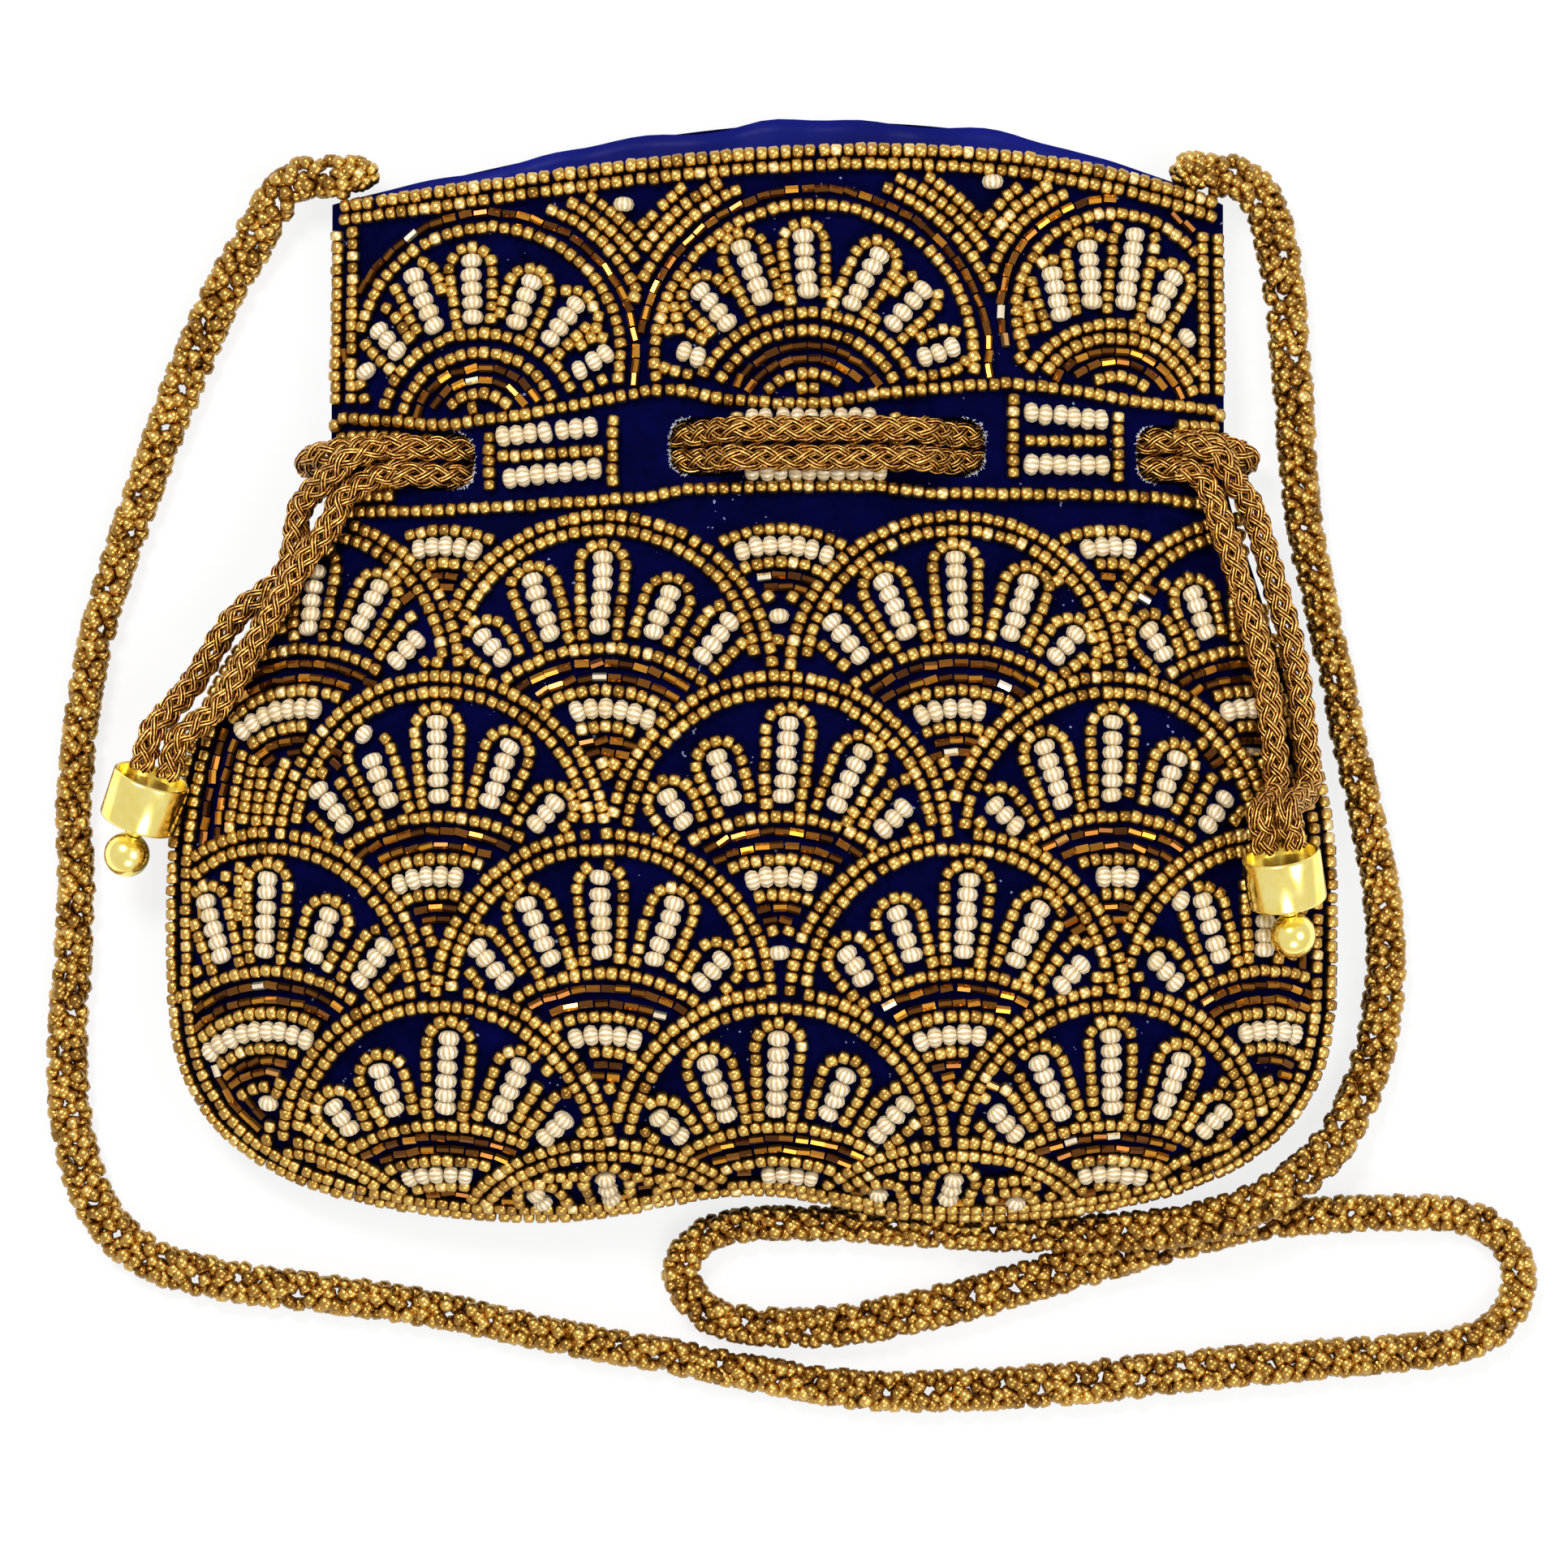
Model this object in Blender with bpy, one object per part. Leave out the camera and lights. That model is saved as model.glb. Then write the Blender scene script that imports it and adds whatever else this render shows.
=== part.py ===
"""Beaded drawstring pouch, lying on its back.

+X runs to the pouch's right, +Y to its mouth and +Z up out of its front. The origin is on the surface
that the pouch lies on, under the middle of its box. Sizes are in metres.
"""

import math

import bmesh
import bpy
import numpy as np
from mathutils import Matrix, Vector

MM = 0.001

# Outline of the two panels
BELLY_HALF = 110.0 * MM
NECK_HALF = 84.7 * MM
NECK_LEAN = 4.9 * MM
BELLY_Y = -50.0 * MM
NECK_Y = 40.0 * MM
LEAN_START = -10.0 * MM
LEAN_END = 26.0 * MM
SHOULDER_POWER = 1.4
BOTTOM_DEPTH = 54.8 * MM
BOTTOM_NOTCH = 6.0 * MM
NOTCH_HALF = 24.0 * MM
CORNER_POWER = 3.5
MOUTH_CORNER_Y = 87.5 * MM
MOUTH_RISE = 4.5 * MM
MOUTH_PEAK = 6.0 * MM
BACK_RISE = 6.5 * MM

# Thickness of the pouch, front to back
BELLY_THICK = 36.0 * MM
NECK_THICK = 25.0 * MM
MOUTH_THICK = 17.0 * MM
MOUTH_Y = 88.0 * MM
SEAM_HEIGHT = 8.5 * MM
MOUTH_SEAM_HEIGHT = 6.5 * MM
FRONT_ROUND = 2.4
FRONT_FALL = 0.75
BACK_ROUND = 3.0
BACK_FLAT = 1.45

# How finely the cloth is faceted, across and along
CLOTH_STEPS = (14, 17)
SHARP_ANGLE = math.radians(40)

# Cloth and clearances
WALL = 2.0 * MM
LINING = 0.7 * MM
GAP = 0.3 * MM
SEAM_GAP = 0.3 * MM
LINING_GAP = 0.5 * MM

# Draw cords and the slots that they run through
CORD = 4.9 * MM
CORD_PAIR = 5.2 * MM
CORD_Y = 40.6 * MM
CHANNEL = CORD + 8 * GAP
CHANNEL_HALF = 9.0 * MM
CHANNEL_END = 0.94
CHANNEL_FADE = 0.10
SLOT_ENDS = (-52.0 * MM, -15.5 * MM, 44.0 * MM, 72.5 * MM)
SLOT_LONG = (-14.0 * MM, 14.0 * MM, -14.0 * MM, 12.0 * MM)
SLOT_Y = (38.2 * MM, 40.6 * MM, 40.6 * MM, 39.6 * MM)

# Beadwork: rows of seed beads and what they outline
SEED = 2.0 * MM
ROW_PITCH = 2.9 * MM
DOUBLE_ROW = ROW_PITCH + SEED
BEAD_LOW = 2 * GAP
BEAD_HIGH = BEAD_LOW + SEED
MELON_HIGH = BEAD_LOW + 2.4 * MM
BEAD_MARGIN = 0.965
BEAD_EDGE = 4.2 * MM
SCALE_RADIUS = 31.0 * MM
ROW_Y = (27.2 * MM, -2.8 * MM, -31.8 * MM, -61.0 * MM, -88.9 * MM)
WIDE_ROW_X = (-90.0 * MM, -27.4 * MM, 38.4 * MM, 96.0 * MM)
NARROW_ROW_X = (-57.6 * MM, 5.2 * MM, 67.0 * MM)
BAND_TOP_Y = 48.8 * MM
BAND_TILT = 1.2 * MM
BAND_WAVE = 1.1 * MM
BAND_LOW_Y = 29.2 * MM
BAND_BOW = 3.4 * MM
PLAQUE_LOW_Y = 34.2 * MM
PLAQUE_HIGH_Y = 45.6 * MM
PLAQUES = (
    ("plaque_left", -47.5 * MM, -26.0 * MM),
    ("plaque_right", 49.0 * MM, 68.0 * MM),
    ("plaque_middle", 0.5 * MM, 26.0 * MM),
)
PLAQUE_PIECE = 6.0 * MM
SPANDREL_LOW_Y = 64.0 * MM
SPANDRELS = (("spandrel_left", -21.9 * MM, 12.0 * MM), ("spandrel_right", 45.6 * MM, 10.0 * MM))
SPANDREL_TIP = 0.7 * MM
SPANDREL_FLARE = 2.2
HALF_SCALES = ("half_scale_left", "half_scale_middle", "half_scale_right")
HALF_SCALE_RADII = (8.0 * MM, 15.0 * MM, 22.0 * MM, 27.5 * MM)
HALF_SCALE_SIDE = 0.11
HALF_SCALE_TIP = 0.6 * MM
TOP_FANS = (
    ("left", -51.0 * MM, 43.5 * MM, 28.0 * MM),
    ("middle", 10.8 * MM, 44.5 * MM, 32.0 * MM),
    ("right", 69.5 * MM, 44.5 * MM, 21.5 * MM),
)
TOP_APEX_Y = (85.3 * MM, 89.3 * MM, 86.2 * MM)
TOP_PETALS = (0.74, 0.84, 0.95, 1.0, 0.95, 0.84, 0.74)
TOP_WIDE = 28.0 * MM
SCALE_PETALS = (0.69, 0.81, 0.87, 0.81, 0.69)
SCALE_RINGS = (0.5, 0.88, 1.2)
LOW_SCALE_RINGS = (0.4, 0.62, 0.82, 0.98, 1.12, 1.24)
SCALE_SIDE = 1.6 * MM
PETAL_STEPS = 3

# Cord ends
CAP_RADIUS = 7.4 * MM
CAP_LONG = 9.7 * MM
STEM_RADIUS = 1.7 * MM
STEM_LONG = 2.0 * MM
PIN_RADIUS = 0.8 * MM
BORE_RADIUS = 1.2 * MM
BALL_RADIUS = 4.3 * MM
HEAD_RADIUS = 1.5 * MM
HEAD_SEAT = 1.9 * MM
HEAD_DEEP = 1.4 * MM
HEAD_LONG = 0.8 * MM
CAP_BEVEL = 0.6 * MM
TURNED_FACETS = 14
LEFT_CAP = Vector((-114.6, -25.6, 15.8)) * MM
LEFT_AXIS = Vector((-0.36, -1.0, -0.30))
RIGHT_CAP_XY = (94.6 * MM, -40.3 * MM)
RIGHT_BALL_XY = (97.6 * MM, -52.6 * MM)

# Shoulder strap, and the bead clusters that it is sewn into
STRAP = 7.2 * MM
ANCHOR_SIZE = Vector((4.6, 4.0, 3.2)) * MM
LEFT_ANCHOR = Vector((-75.2, 93.2, 8.5)) * MM
RIGHT_ANCHOR = Vector((84.0, 93.8, 8.5)) * MM


def clear_scene():
    for obj in list(bpy.data.objects):
        bpy.data.objects.remove(obj, do_unlink=True)


def material(name, colour, roughness, metallic=0.0):
    found = bpy.data.materials.get(name)
    if found:
        return found
    made = bpy.data.materials.new(name)
    made.use_nodes = True
    shader = made.node_tree.nodes["Principled BSDF"]
    shader.inputs["Base Color"].default_value = (*colour, 1.0)
    shader.inputs["Roughness"].default_value = roughness
    shader.inputs["Metallic"].default_value = metallic
    return made


def velvet():
    return material("velvet", (0.005, 0.012, 0.20), 0.85)


def satin():
    return material("satin", (0.006, 0.014, 0.36), 0.35)


def seed_beads():
    return material("seed_beads", (0.46, 0.26, 0.07), 0.30, 0.9)


def melon_beads():
    return material("melon_beads", (0.78, 0.66, 0.45), 0.40, 0.6)


def braid():
    return material("gold_braid", (0.48, 0.28, 0.08), 0.42, 0.8)


def polished_gold():
    return material("polished_gold", (0.85, 0.60, 0.12), 0.12, 1.0)


def new_object(name, mesh, finish):
    obj = bpy.data.objects.new(name, mesh)
    bpy.context.scene.collection.objects.link(obj)
    mesh.materials.append(finish)
    mesh.shade_smooth()
    mesh.set_sharp_from_angle(angle=SHARP_ANGLE)
    return obj


def smoothstep(t):
    t = np.clip(t, 0.0, 1.0)
    return t * t * (3.0 - 2.0 * t)


# The pouch's own surface: half width, thickness and height at any place

def half_width(y):
    """Half the width between the side seams at height y, which stays at the belly's below the widest line."""
    share = np.clip((y - BELLY_Y) / (NECK_Y - BELLY_Y), 0.0, 1.0) ** SHOULDER_POWER
    return NECK_HALF + (BELLY_HALF - NECK_HALF) * (0.5 + 0.5 * np.cos(np.pi * share))


def lean(y):
    """How far the pouch's middle line has moved to the right at height y."""
    return NECK_LEAN * smoothstep((y - LEAN_START) / (LEAN_END - LEAN_START))


def bottom_depth(x):
    """How far the bottom edge could lie below the widest line at x, less in the middle notch."""
    return BOTTOM_DEPTH - BOTTOM_NOTCH * np.exp(-((x / NOTCH_HALF) ** 2))


def mouth_edge(x, rise=0.0):
    share = np.clip((x - NECK_LEAN + NECK_HALF) / (2.0 * NECK_HALF), 0.0, 1.0)
    arch = MOUTH_RISE * 4.0 * share * (1.0 - share)
    peak = MOUTH_PEAK * 6.75 * share * share * (1.0 - share)
    return MOUTH_CORNER_Y + arch + peak + rise * np.sin(np.pi * share) ** 0.8


def from_middle(x, y, inset=0.0):
    """0 on the middle line and 1 on the outline, moved in by inset."""
    across = np.abs(x - lean(y)) / (half_width(y) - inset)
    down = np.clip((BELLY_Y - y) / (bottom_depth(x) - inset), 0.0, None)
    return (across**CORNER_POWER + down**CORNER_POWER) ** (1.0 / CORNER_POWER)


def thickness(y):
    neck = smoothstep((y - BELLY_Y * 0.2) / (NECK_Y - BELLY_Y * 0.2))
    mouth = smoothstep((y - NECK_Y) / (MOUTH_Y - NECK_Y))
    return BELLY_THICK + (NECK_THICK - BELLY_THICK) * neck + (MOUTH_THICK - NECK_THICK) * mouth


def seam_height(y):
    return SEAM_HEIGHT + (MOUTH_SEAM_HEIGHT - SEAM_HEIGHT) * smoothstep((y - NECK_Y) / (MOUTH_Y - NECK_Y))


def front_height(x, y, inset=0.0):
    """Height of the front at (x, y), or of a layer inset below it."""
    fall = np.clip(1.0 - from_middle(x, y, inset) ** FRONT_ROUND, 0.0, 1.0) ** FRONT_FALL
    return seam_height(y) + SEAM_GAP / 2 + (thickness(y) - seam_height(y) - SEAM_GAP / 2 - inset) * fall


def back_height(x, y, inset=0.0):
    """Height of the back at (x, y), which is flat but for its rim."""
    full = BACK_FLAT * (1.0 - np.clip(from_middle(x, y, inset), 0.0, 1.0) ** BACK_ROUND)
    rim = seam_height(y) - SEAM_GAP / 2
    return inset + (rim - inset) * (1.0 - smoothstep(full))


def on_front(x, y, lift=0.0):
    """A point lift above the front, along its normal."""
    step = 0.2 * MM
    slope_x = (front_height(x + step, y) - front_height(x - step, y)) / (2 * step)
    slope_y = (front_height(x, y + step) - front_height(x, y - step)) / (2 * step)
    normal = Vector((-slope_x, -slope_y, 1.0)).normalized()
    return Vector((x, y, float(front_height(x, y)))) + normal * lift


def grid_of(across, along, inset, rise=0.0):
    """The outline filled with rows from the bottom edge to the mouth: (x, y) of each crossing."""
    share = np.sin(np.linspace(-np.pi / 2, np.pi / 2, across + 1))
    climb = np.linspace(0.0, 1.0, along + 1)
    low_x = (BELLY_HALF - inset) * share
    depth = (bottom_depth(low_x) - inset) * (1.0 - np.abs(share) ** CORNER_POWER) ** (1.0 / CORNER_POWER)
    side_y = BELLY_Y + climb * (MOUTH_CORNER_Y - BELLY_Y)
    rows = []
    for level, v in zip(side_y, climb):
        x = lean(level) + (half_width(level) - inset) * share
        top = mouth_edge(lean(MOUTH_Y) + (NECK_HALF - inset) * share, rise)
        y = (BELLY_Y - depth) * (1.0 - v) + top * v
        rows.append(list(zip(x, y)))
    return rows


def closed_mesh(name, bm):
    """The mesh of a finished bmesh, with all its faces pointing out."""
    bmesh.ops.recalc_face_normals(bm, faces=bm.faces)
    if bm.calc_volume(signed=True) < 0:
        bmesh.ops.reverse_faces(bm, faces=bm.faces)
    mesh = bpy.data.meshes.new(name)
    bm.to_mesh(mesh)
    bm.free()
    return mesh


def mesh_of(name, verts, faces):
    bm = bmesh.new()
    points = [bm.verts.new(v) for v in verts]
    for face in faces:
        bm.faces.new([points[k] for k in face])
    return closed_mesh(name, bm)


def prism(name, ring, height):
    """A hidden guide: the ring of points raised by height."""
    bm = bmesh.new()
    face = bm.faces.new([bm.verts.new(p) for p in ring])
    raised = bmesh.ops.extrude_face_region(bm, geom=[face])
    corners = [v for v in raised["geom"] if isinstance(v, bmesh.types.BMVert)]
    bmesh.ops.translate(bm, verts=corners, vec=(0, 0, height))
    obj = bpy.data.objects.new(name, closed_mesh(name, bm))
    bpy.context.scene.collection.objects.link(obj)
    obj.hide_render = True
    obj.display_type = "WIRE"
    return obj


def shell(name, outer, inner, finish):
    """A closed sheet between two grids of points with as many rows and columns."""
    rows, columns = len(outer), len(outer[0])
    verts = [p for row in outer for p in row] + [p for row in inner for p in row]
    size = rows * columns

    def at(i, j, layer):
        return layer * size + i * columns + j

    faces = []
    for i in range(rows - 1):
        for j in range(columns - 1):
            faces.append((at(i, j, 0), at(i, j + 1, 0), at(i + 1, j + 1, 0), at(i + 1, j, 0)))
            faces.append((at(i, j, 1), at(i + 1, j, 1), at(i + 1, j + 1, 1), at(i, j + 1, 1)))
    rim = [(0, j) for j in range(columns - 1)]
    rim += [(i, columns - 1) for i in range(rows - 1)]
    rim += [(rows - 1, j) for j in range(columns - 1, 0, -1)]
    rim += [(i, 0) for i in range(rows - 1, 0, -1)]
    for (i, j), (k, m) in zip(rim, rim[1:] + rim[:1]):
        faces.append((at(i, j, 0), at(k, m, 0), at(k, m, 1), at(i, j, 1)))
    return new_object(name, mesh_of(name, verts, faces), finish)


def front_layer(across, along, inset):
    return [
        [Vector((x, y, float(front_height(x, y, inset)))) for x, y in row]
        for row in grid_of(across, along, inset)
    ]


def back_layer(across, along, inset):
    return [
        [Vector((x, y, float(back_height(x, y, inset)))) for x, y in row]
        for row in grid_of(across, along, inset, BACK_RISE)
    ]


def cut(obj, cutter):
    boolean = obj.modifiers.new(cutter.name, "BOOLEAN")
    boolean.operation = "DIFFERENCE"
    boolean.solver = "MANIFOLD"
    boolean.object = cutter


def slot_cutter(name, end, long, y, low, high):
    """An upright block with round corners, which cuts a slot from end, long to one side, for two cords."""
    half = abs(long) / 2
    tall = (CORD_PAIR + CORD) / 2 + 2 * GAP
    ring = []
    for k in range(16):
        turn = 2 * math.pi * (k + 0.5) / 16
        across = math.copysign(abs(math.cos(turn)) ** 0.4, math.cos(turn))
        up = math.copysign(abs(math.sin(turn)) ** 0.4, math.sin(turn))
        ring.append((end + long / 2 + half * across, y + tall * up, low))
    return prism(name, ring, high - low)


def front_panel():
    panel = shell("front_panel", front_layer(*CLOTH_STEPS, 0.0), front_layer(*CLOTH_STEPS, WALL), velvet())
    for k, (end, long, y) in enumerate(zip(SLOT_ENDS, SLOT_LONG, SLOT_Y)):
        low = float(seam_height(y)) + WALL / 2
        cut(panel, slot_cutter(f"front_slot_{k + 1}", end, long, y, low, NECK_THICK + 5 * MM))


def back_panel():
    shell("back_panel", back_layer(*CLOTH_STEPS, 0.0), back_layer(*CLOTH_STEPS, WALL), velvet())


def channel(x, y):
    """How far the lining stands off the panels, to make the tunnel that the draw cords run in."""
    near = smoothstep((2 * CHANNEL_HALF - abs(y - CORD_Y)) / CHANNEL_HALF)
    edge = from_middle(x, y)
    return CHANNEL * near * smoothstep((CHANNEL_END - edge) / CHANNEL_FADE)


def lining_layer(side, extra):
    """One side of the lining, extra inside its outer face."""
    inset = WALL + LINING_GAP + extra
    rise = 0.0 if side > 0 else BACK_RISE
    rows = []
    for row in grid_of(*CLOTH_STEPS, inset, rise):
        points = []
        for x, y in row:
            if side > 0:
                z = float(front_height(x, y, inset)) - channel(x, y)
            else:
                z = float(back_height(x, y, inset))
            points.append(Vector((x, y, z)))
        rows.append(points)
    return rows


def closed_pouch(front, back, verts):
    """Adds a bag of a front and a back grid that share sides and bottom, and returns its faces and its mouth."""
    rows, columns = len(front), len(front[0])
    start = len(verts)
    verts.extend(p for row in front for p in row)
    number = {}
    for i in range(rows):
        for j in range(columns):
            if i == 0 or j in (0, columns - 1):
                number[i, j] = start + i * columns + j
                verts[number[i, j]] = (front[i][j] + back[i][j]) / 2
            else:
                number[i, j] = len(verts)
                verts.append(back[i][j])

    def fore(i, j):
        return start + i * columns + j

    faces = []
    for i in range(rows - 1):
        for j in range(columns - 1):
            faces.append((fore(i, j), fore(i, j + 1), fore(i + 1, j + 1), fore(i + 1, j)))
            faces.append((number[i, j], number[i + 1, j], number[i + 1, j + 1], number[i, j + 1]))
    mouth = [fore(rows - 1, j) for j in range(columns)]
    mouth += [number[rows - 1, j] for j in range(columns - 2, 0, -1)]
    return faces, mouth


def lining():
    verts = []
    outer, outer_mouth = closed_pouch(lining_layer(1, 0.0), lining_layer(-1, 0.0), verts)
    inner, inner_mouth = closed_pouch(lining_layer(1, LINING), lining_layer(-1, LINING), verts)
    faces = outer + inner
    count = len(outer_mouth)
    for k in range(count):
        n = (k + 1) % count
        faces.append((outer_mouth[k], outer_mouth[n], inner_mouth[n], inner_mouth[k]))
    new_object("lining", mesh_of("lining", verts, faces), satin())


# Beadwork: flat solids that follow the front

def patch(name, rows, high=BEAD_HIGH, finish=None, within=None):
    """A solid over a grid of (x, y) places, from just above the velvet to the tops of the beads."""
    top = [[on_front(x, y, high) for x, y in row] for row in rows]
    low = [[on_front(x, y, BEAD_LOW) for x, y in row] for row in rows]
    obj = shell(name, top, low, finish or seed_beads())
    if within:
        boolean = obj.modifiers.new(within, "BOOLEAN")
        boolean.operation = "INTERSECT"
        boolean.solver = "MANIFOLD"
        boolean.object = bpy.data.objects[within]
    return obj


def outline_prism(name, inset):
    """A guide: the outline moved in by inset, as a tall prism that beadwork is trimmed to."""
    ring = []
    for k in range(27):
        share = -math.cos(math.pi * k / 26)
        x = (BELLY_HALF - inset) * share
        depth = (float(bottom_depth(x)) - inset) * (1 - abs(share) ** CORNER_POWER) ** (1 / CORNER_POWER)
        ring.append((x, BELLY_Y - depth))
    climb = [BELLY_Y + (MOUTH_CORNER_Y + 4 * MM - BELLY_Y) * k / 12 for k in range(1, 13)]
    ring += [(float(lean(y) + half_width(y) - inset), y) for y in climb]
    ring += [(float(lean(y) - half_width(y) + inset), y) for y in reversed(climb)]
    prism(name, [(x, y, -5 * MM) for x, y in ring], BELLY_THICK + 20 * MM)


def ribbon(name, line, wide, **more):
    """A strip of even width along a line of (x, y) places."""
    rows = []
    for k, (x, y) in enumerate(line):
        before = line[max(k - 1, 0)]
        after = line[min(k + 1, len(line) - 1)]
        run = Vector((after[0] - before[0], after[1] - before[1], 0.0)).normalized()
        aside = Vector((-run.y, run.x)) * wide / 2
        rows.append([(x + aside.x, y + aside.y), (x - aside.x, y - aside.y)])
    return patch(name, rows, **more)


def feet_of(apexes):
    """Where the arches of a row meet, and where its outermost two come down."""
    feet = [(a + b) / 2 for a, b in zip(apexes, apexes[1:])]
    return [2 * apexes[0] - feet[0], *feet, 2 * apexes[-1] - feet[-1]]


def wave(name, arches, apex_y, foot_y):
    """A row of scallops: a double bead row over each scale, joined in a V between two scales."""
    climb = apex_y - foot_y
    rows = []
    for left, apex, right in arches:
        for m in range(11):
            turn = math.radians(-78 + 156 * m / 10)
            reach = (apex - left) if turn < 0 else (right - apex)
            outer = (apex + reach * math.sin(turn), foot_y + climb * math.cos(turn))
            narrow, low = reach - DOUBLE_ROW, climb - DOUBLE_ROW
            rows.append([outer, (apex + narrow * math.sin(turn), foot_y + low * math.cos(turn))])
    patch(name, rows, within="outline_prism")


def fan_rows(x, y, radii, widest, tops):
    """Rows of a petalled fan about (x, y): round arcs at radii, then an edge with a lobe for each of tops."""
    count = len(tops) * PETAL_STEPS
    rows = []
    for radius in radii:
        half = widest(radius)
        rows.append([place(x, y, radius, half * (2 * k / count - 1)) for k in range(count + 1)])
    half = widest(max(tops))
    edge = []
    for k in range(count + 1):
        petal = min(k // PETAL_STEPS, len(tops) - 1)
        lobe = math.sin(math.pi * (k / PETAL_STEPS - petal)) ** 0.5
        valley = radii[-1] + ROW_PITCH
        edge.append(place(x, y, valley + (tops[petal] - valley) * lobe, half * (2 * k / count - 1)))
    return [*rows, edge]


def place(x, y, radius, turn):
    return (x + radius * math.sin(turn), y + radius * math.cos(turn))


def scale_fan(name, x, apex_y, tip_y, fine, within):
    """The petalled fan inside one scale, about the scale's lower tip."""

    def widest(radius):
        return math.asin(min(radius / (2 * SCALE_RADIUS), 0.69)) - SCALE_SIDE / radius

    high = apex_y - tip_y
    tops = [share * high for share in SCALE_PETALS]
    radii = [share * SCALE_RADIUS for share in (LOW_SCALE_RINGS if fine else SCALE_RINGS)]
    rows = fan_rows(x, tip_y, radii, widest, tops)
    patch(name, rows, MELON_HIGH, melon_beads(), within)


# The pieces of the top panel and the band

def top_fans():
    """The three wide fans between the band and the mouth, and the arch over each."""
    for (side, x, y, reach), apex_y in zip(TOP_FANS, TOP_APEX_Y):
        line = [
            place(x, apex_y - reach, reach - DOUBLE_ROW / 2, math.radians(-84 + 168 * k / 14))
            for k in range(15)
        ]
        ribbon(f"top_arch_{side}", line, DOUBLE_ROW, within="top_prism")
        floor = BAND_TOP_Y + BAND_WAVE + BAND_TILT + SEED - y

        def widest(radius, floor=floor):
            return math.acos(min(floor / radius, 0.95)) * 0.93

        high = apex_y - y - DOUBLE_ROW - ROW_PITCH
        share = min(1.0, reach / TOP_WIDE)
        tops = [high * (s if s == 1.0 else s * share) for s in TOP_PETALS]
        radii = [0.26 * high, 0.5 * high]
        rows = fan_rows(x, y, radii, widest, tops)
        patch(f"top_fan_{side}", rows, MELON_HIGH, melon_beads(), "top_prism")


def mouth_edging():
    """The double bead row along the front edge of the mouth."""
    line = []
    for k in range(21):
        x = NECK_LEAN + NECK_HALF * BEAD_MARGIN * (2 * k / 20 - 1)
        line.append((x, float(mouth_edge(x)) - DOUBLE_ROW / 2))
    ribbon("mouth_edging", line, DOUBLE_ROW)


def side_rows():
    """The upright double rows at both sides of the top panel."""
    for side, name in ((-1, "side_rows_left"), (1, "side_rows_right")):
        line = []
        for k in range(7):
            y = BAND_TOP_Y + 2 * ROW_PITCH + (MOUTH_CORNER_Y - 5 * ROW_PITCH - BAND_TOP_Y) * k / 6
            line.append((float(lean(y) + side * (half_width(y) - BEAD_EDGE - DOUBLE_ROW / 2)), y))
        ribbon(name, line, DOUBLE_ROW)


def spandrels():
    """The wedge of bead rows in each V between two top arches."""
    for name, x, width in SPANDRELS:
        rows = []
        low = SPANDREL_LOW_Y
        high = float(mouth_edge(x)) - 2 * ROW_PITCH - SEED
        for k in range(7):
            rise = k / 6
            half = SPANDREL_TIP + width * rise**SPANDREL_FLARE
            rows.append([(x + half * s, low + (high - low) * rise) for s in (-1, 0, 1)])
        patch(name, rows)


def band_top(share):
    return BAND_TOP_Y + BAND_TILT * share - BAND_WAVE * math.cos(3.2 * math.pi * share)


def band_low(share):
    return BAND_LOW_Y + BAND_BOW * math.cos(math.pi / 2 * share) ** 2


def band():
    """The two bead rows that bound the neck band."""
    for name, height in (("band_row_upper", band_top), ("band_row_lower", band_low)):
        line = []
        for k in range(25):
            share = 2 * k / 24 - 1
            y = height(share)
            line.append((float(lean(y) + (half_width(y) - BEAD_EDGE) * share), y))
        ribbon(name, line, SEED)


def plaques():
    """Beaded plaques on the band, the middle one behind the draw cords."""
    levels = (PLAQUE_LOW_Y, (PLAQUE_LOW_Y + PLAQUE_HIGH_Y) / 2, PLAQUE_HIGH_Y)
    for name, left, right in PLAQUES:
        columns = np.linspace(left, right, round((right - left) / PLAQUE_PIECE) + 1)
        patch(name, [[(float(x), y) for x in columns] for y in levels], MELON_HIGH, melon_beads())


def half_scales():
    """The lower halves of the scales that the band covers."""
    tip = ROW_Y[1] + HALF_SCALE_TIP
    for name, x in zip(HALF_SCALES, NARROW_ROW_X):
        rows = []
        for radius in HALF_SCALE_RADII:
            half = math.asin(radius / (2 * SCALE_RADIUS)) - HALF_SCALE_SIDE
            rows.append([place(x, tip, radius, half * (2 * k / 8 - 1)) for k in range(9)])
        patch(name, rows)


def scale_rows():
    """Five rows of scales, with a fan in each scale of the upper four rows."""
    tips = (*ROW_Y[2:], ROW_Y[4] - SCALE_RADIUS)
    for k, letter in enumerate(("a", "b", "c", "d")):
        apexes, below = (NARROW_ROW_X, WIDE_ROW_X) if k % 2 else (WIDE_ROW_X, NARROW_ROW_X)
        feet = feet_of(apexes)
        wave(f"scallop_row_{letter}", list(zip(feet, apexes, feet[1:])), ROW_Y[k], ROW_Y[k + 1])
        for m, x in enumerate(apexes):
            tip_x = min(feet_of(below), key=lambda foot: abs(foot - x))
            trimmed = k == 3 or (k % 2 == 0 and m in (0, 3))
            within = "outline_prism" if trimmed else None
            scale_fan(f"scale_fan_{letter}{m + 1}", tip_x, ROW_Y[k], tips[k], k == 3, within)
    feet = feet_of(WIDE_ROW_X)
    for m, arch in enumerate(zip(feet, WIDE_ROW_X[:-1], feet[1:])):
        wave(f"scallop_e{m + 1}", [arch], ROW_Y[4], ROW_Y[4] - SCALE_RADIUS)


# Cords

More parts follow.
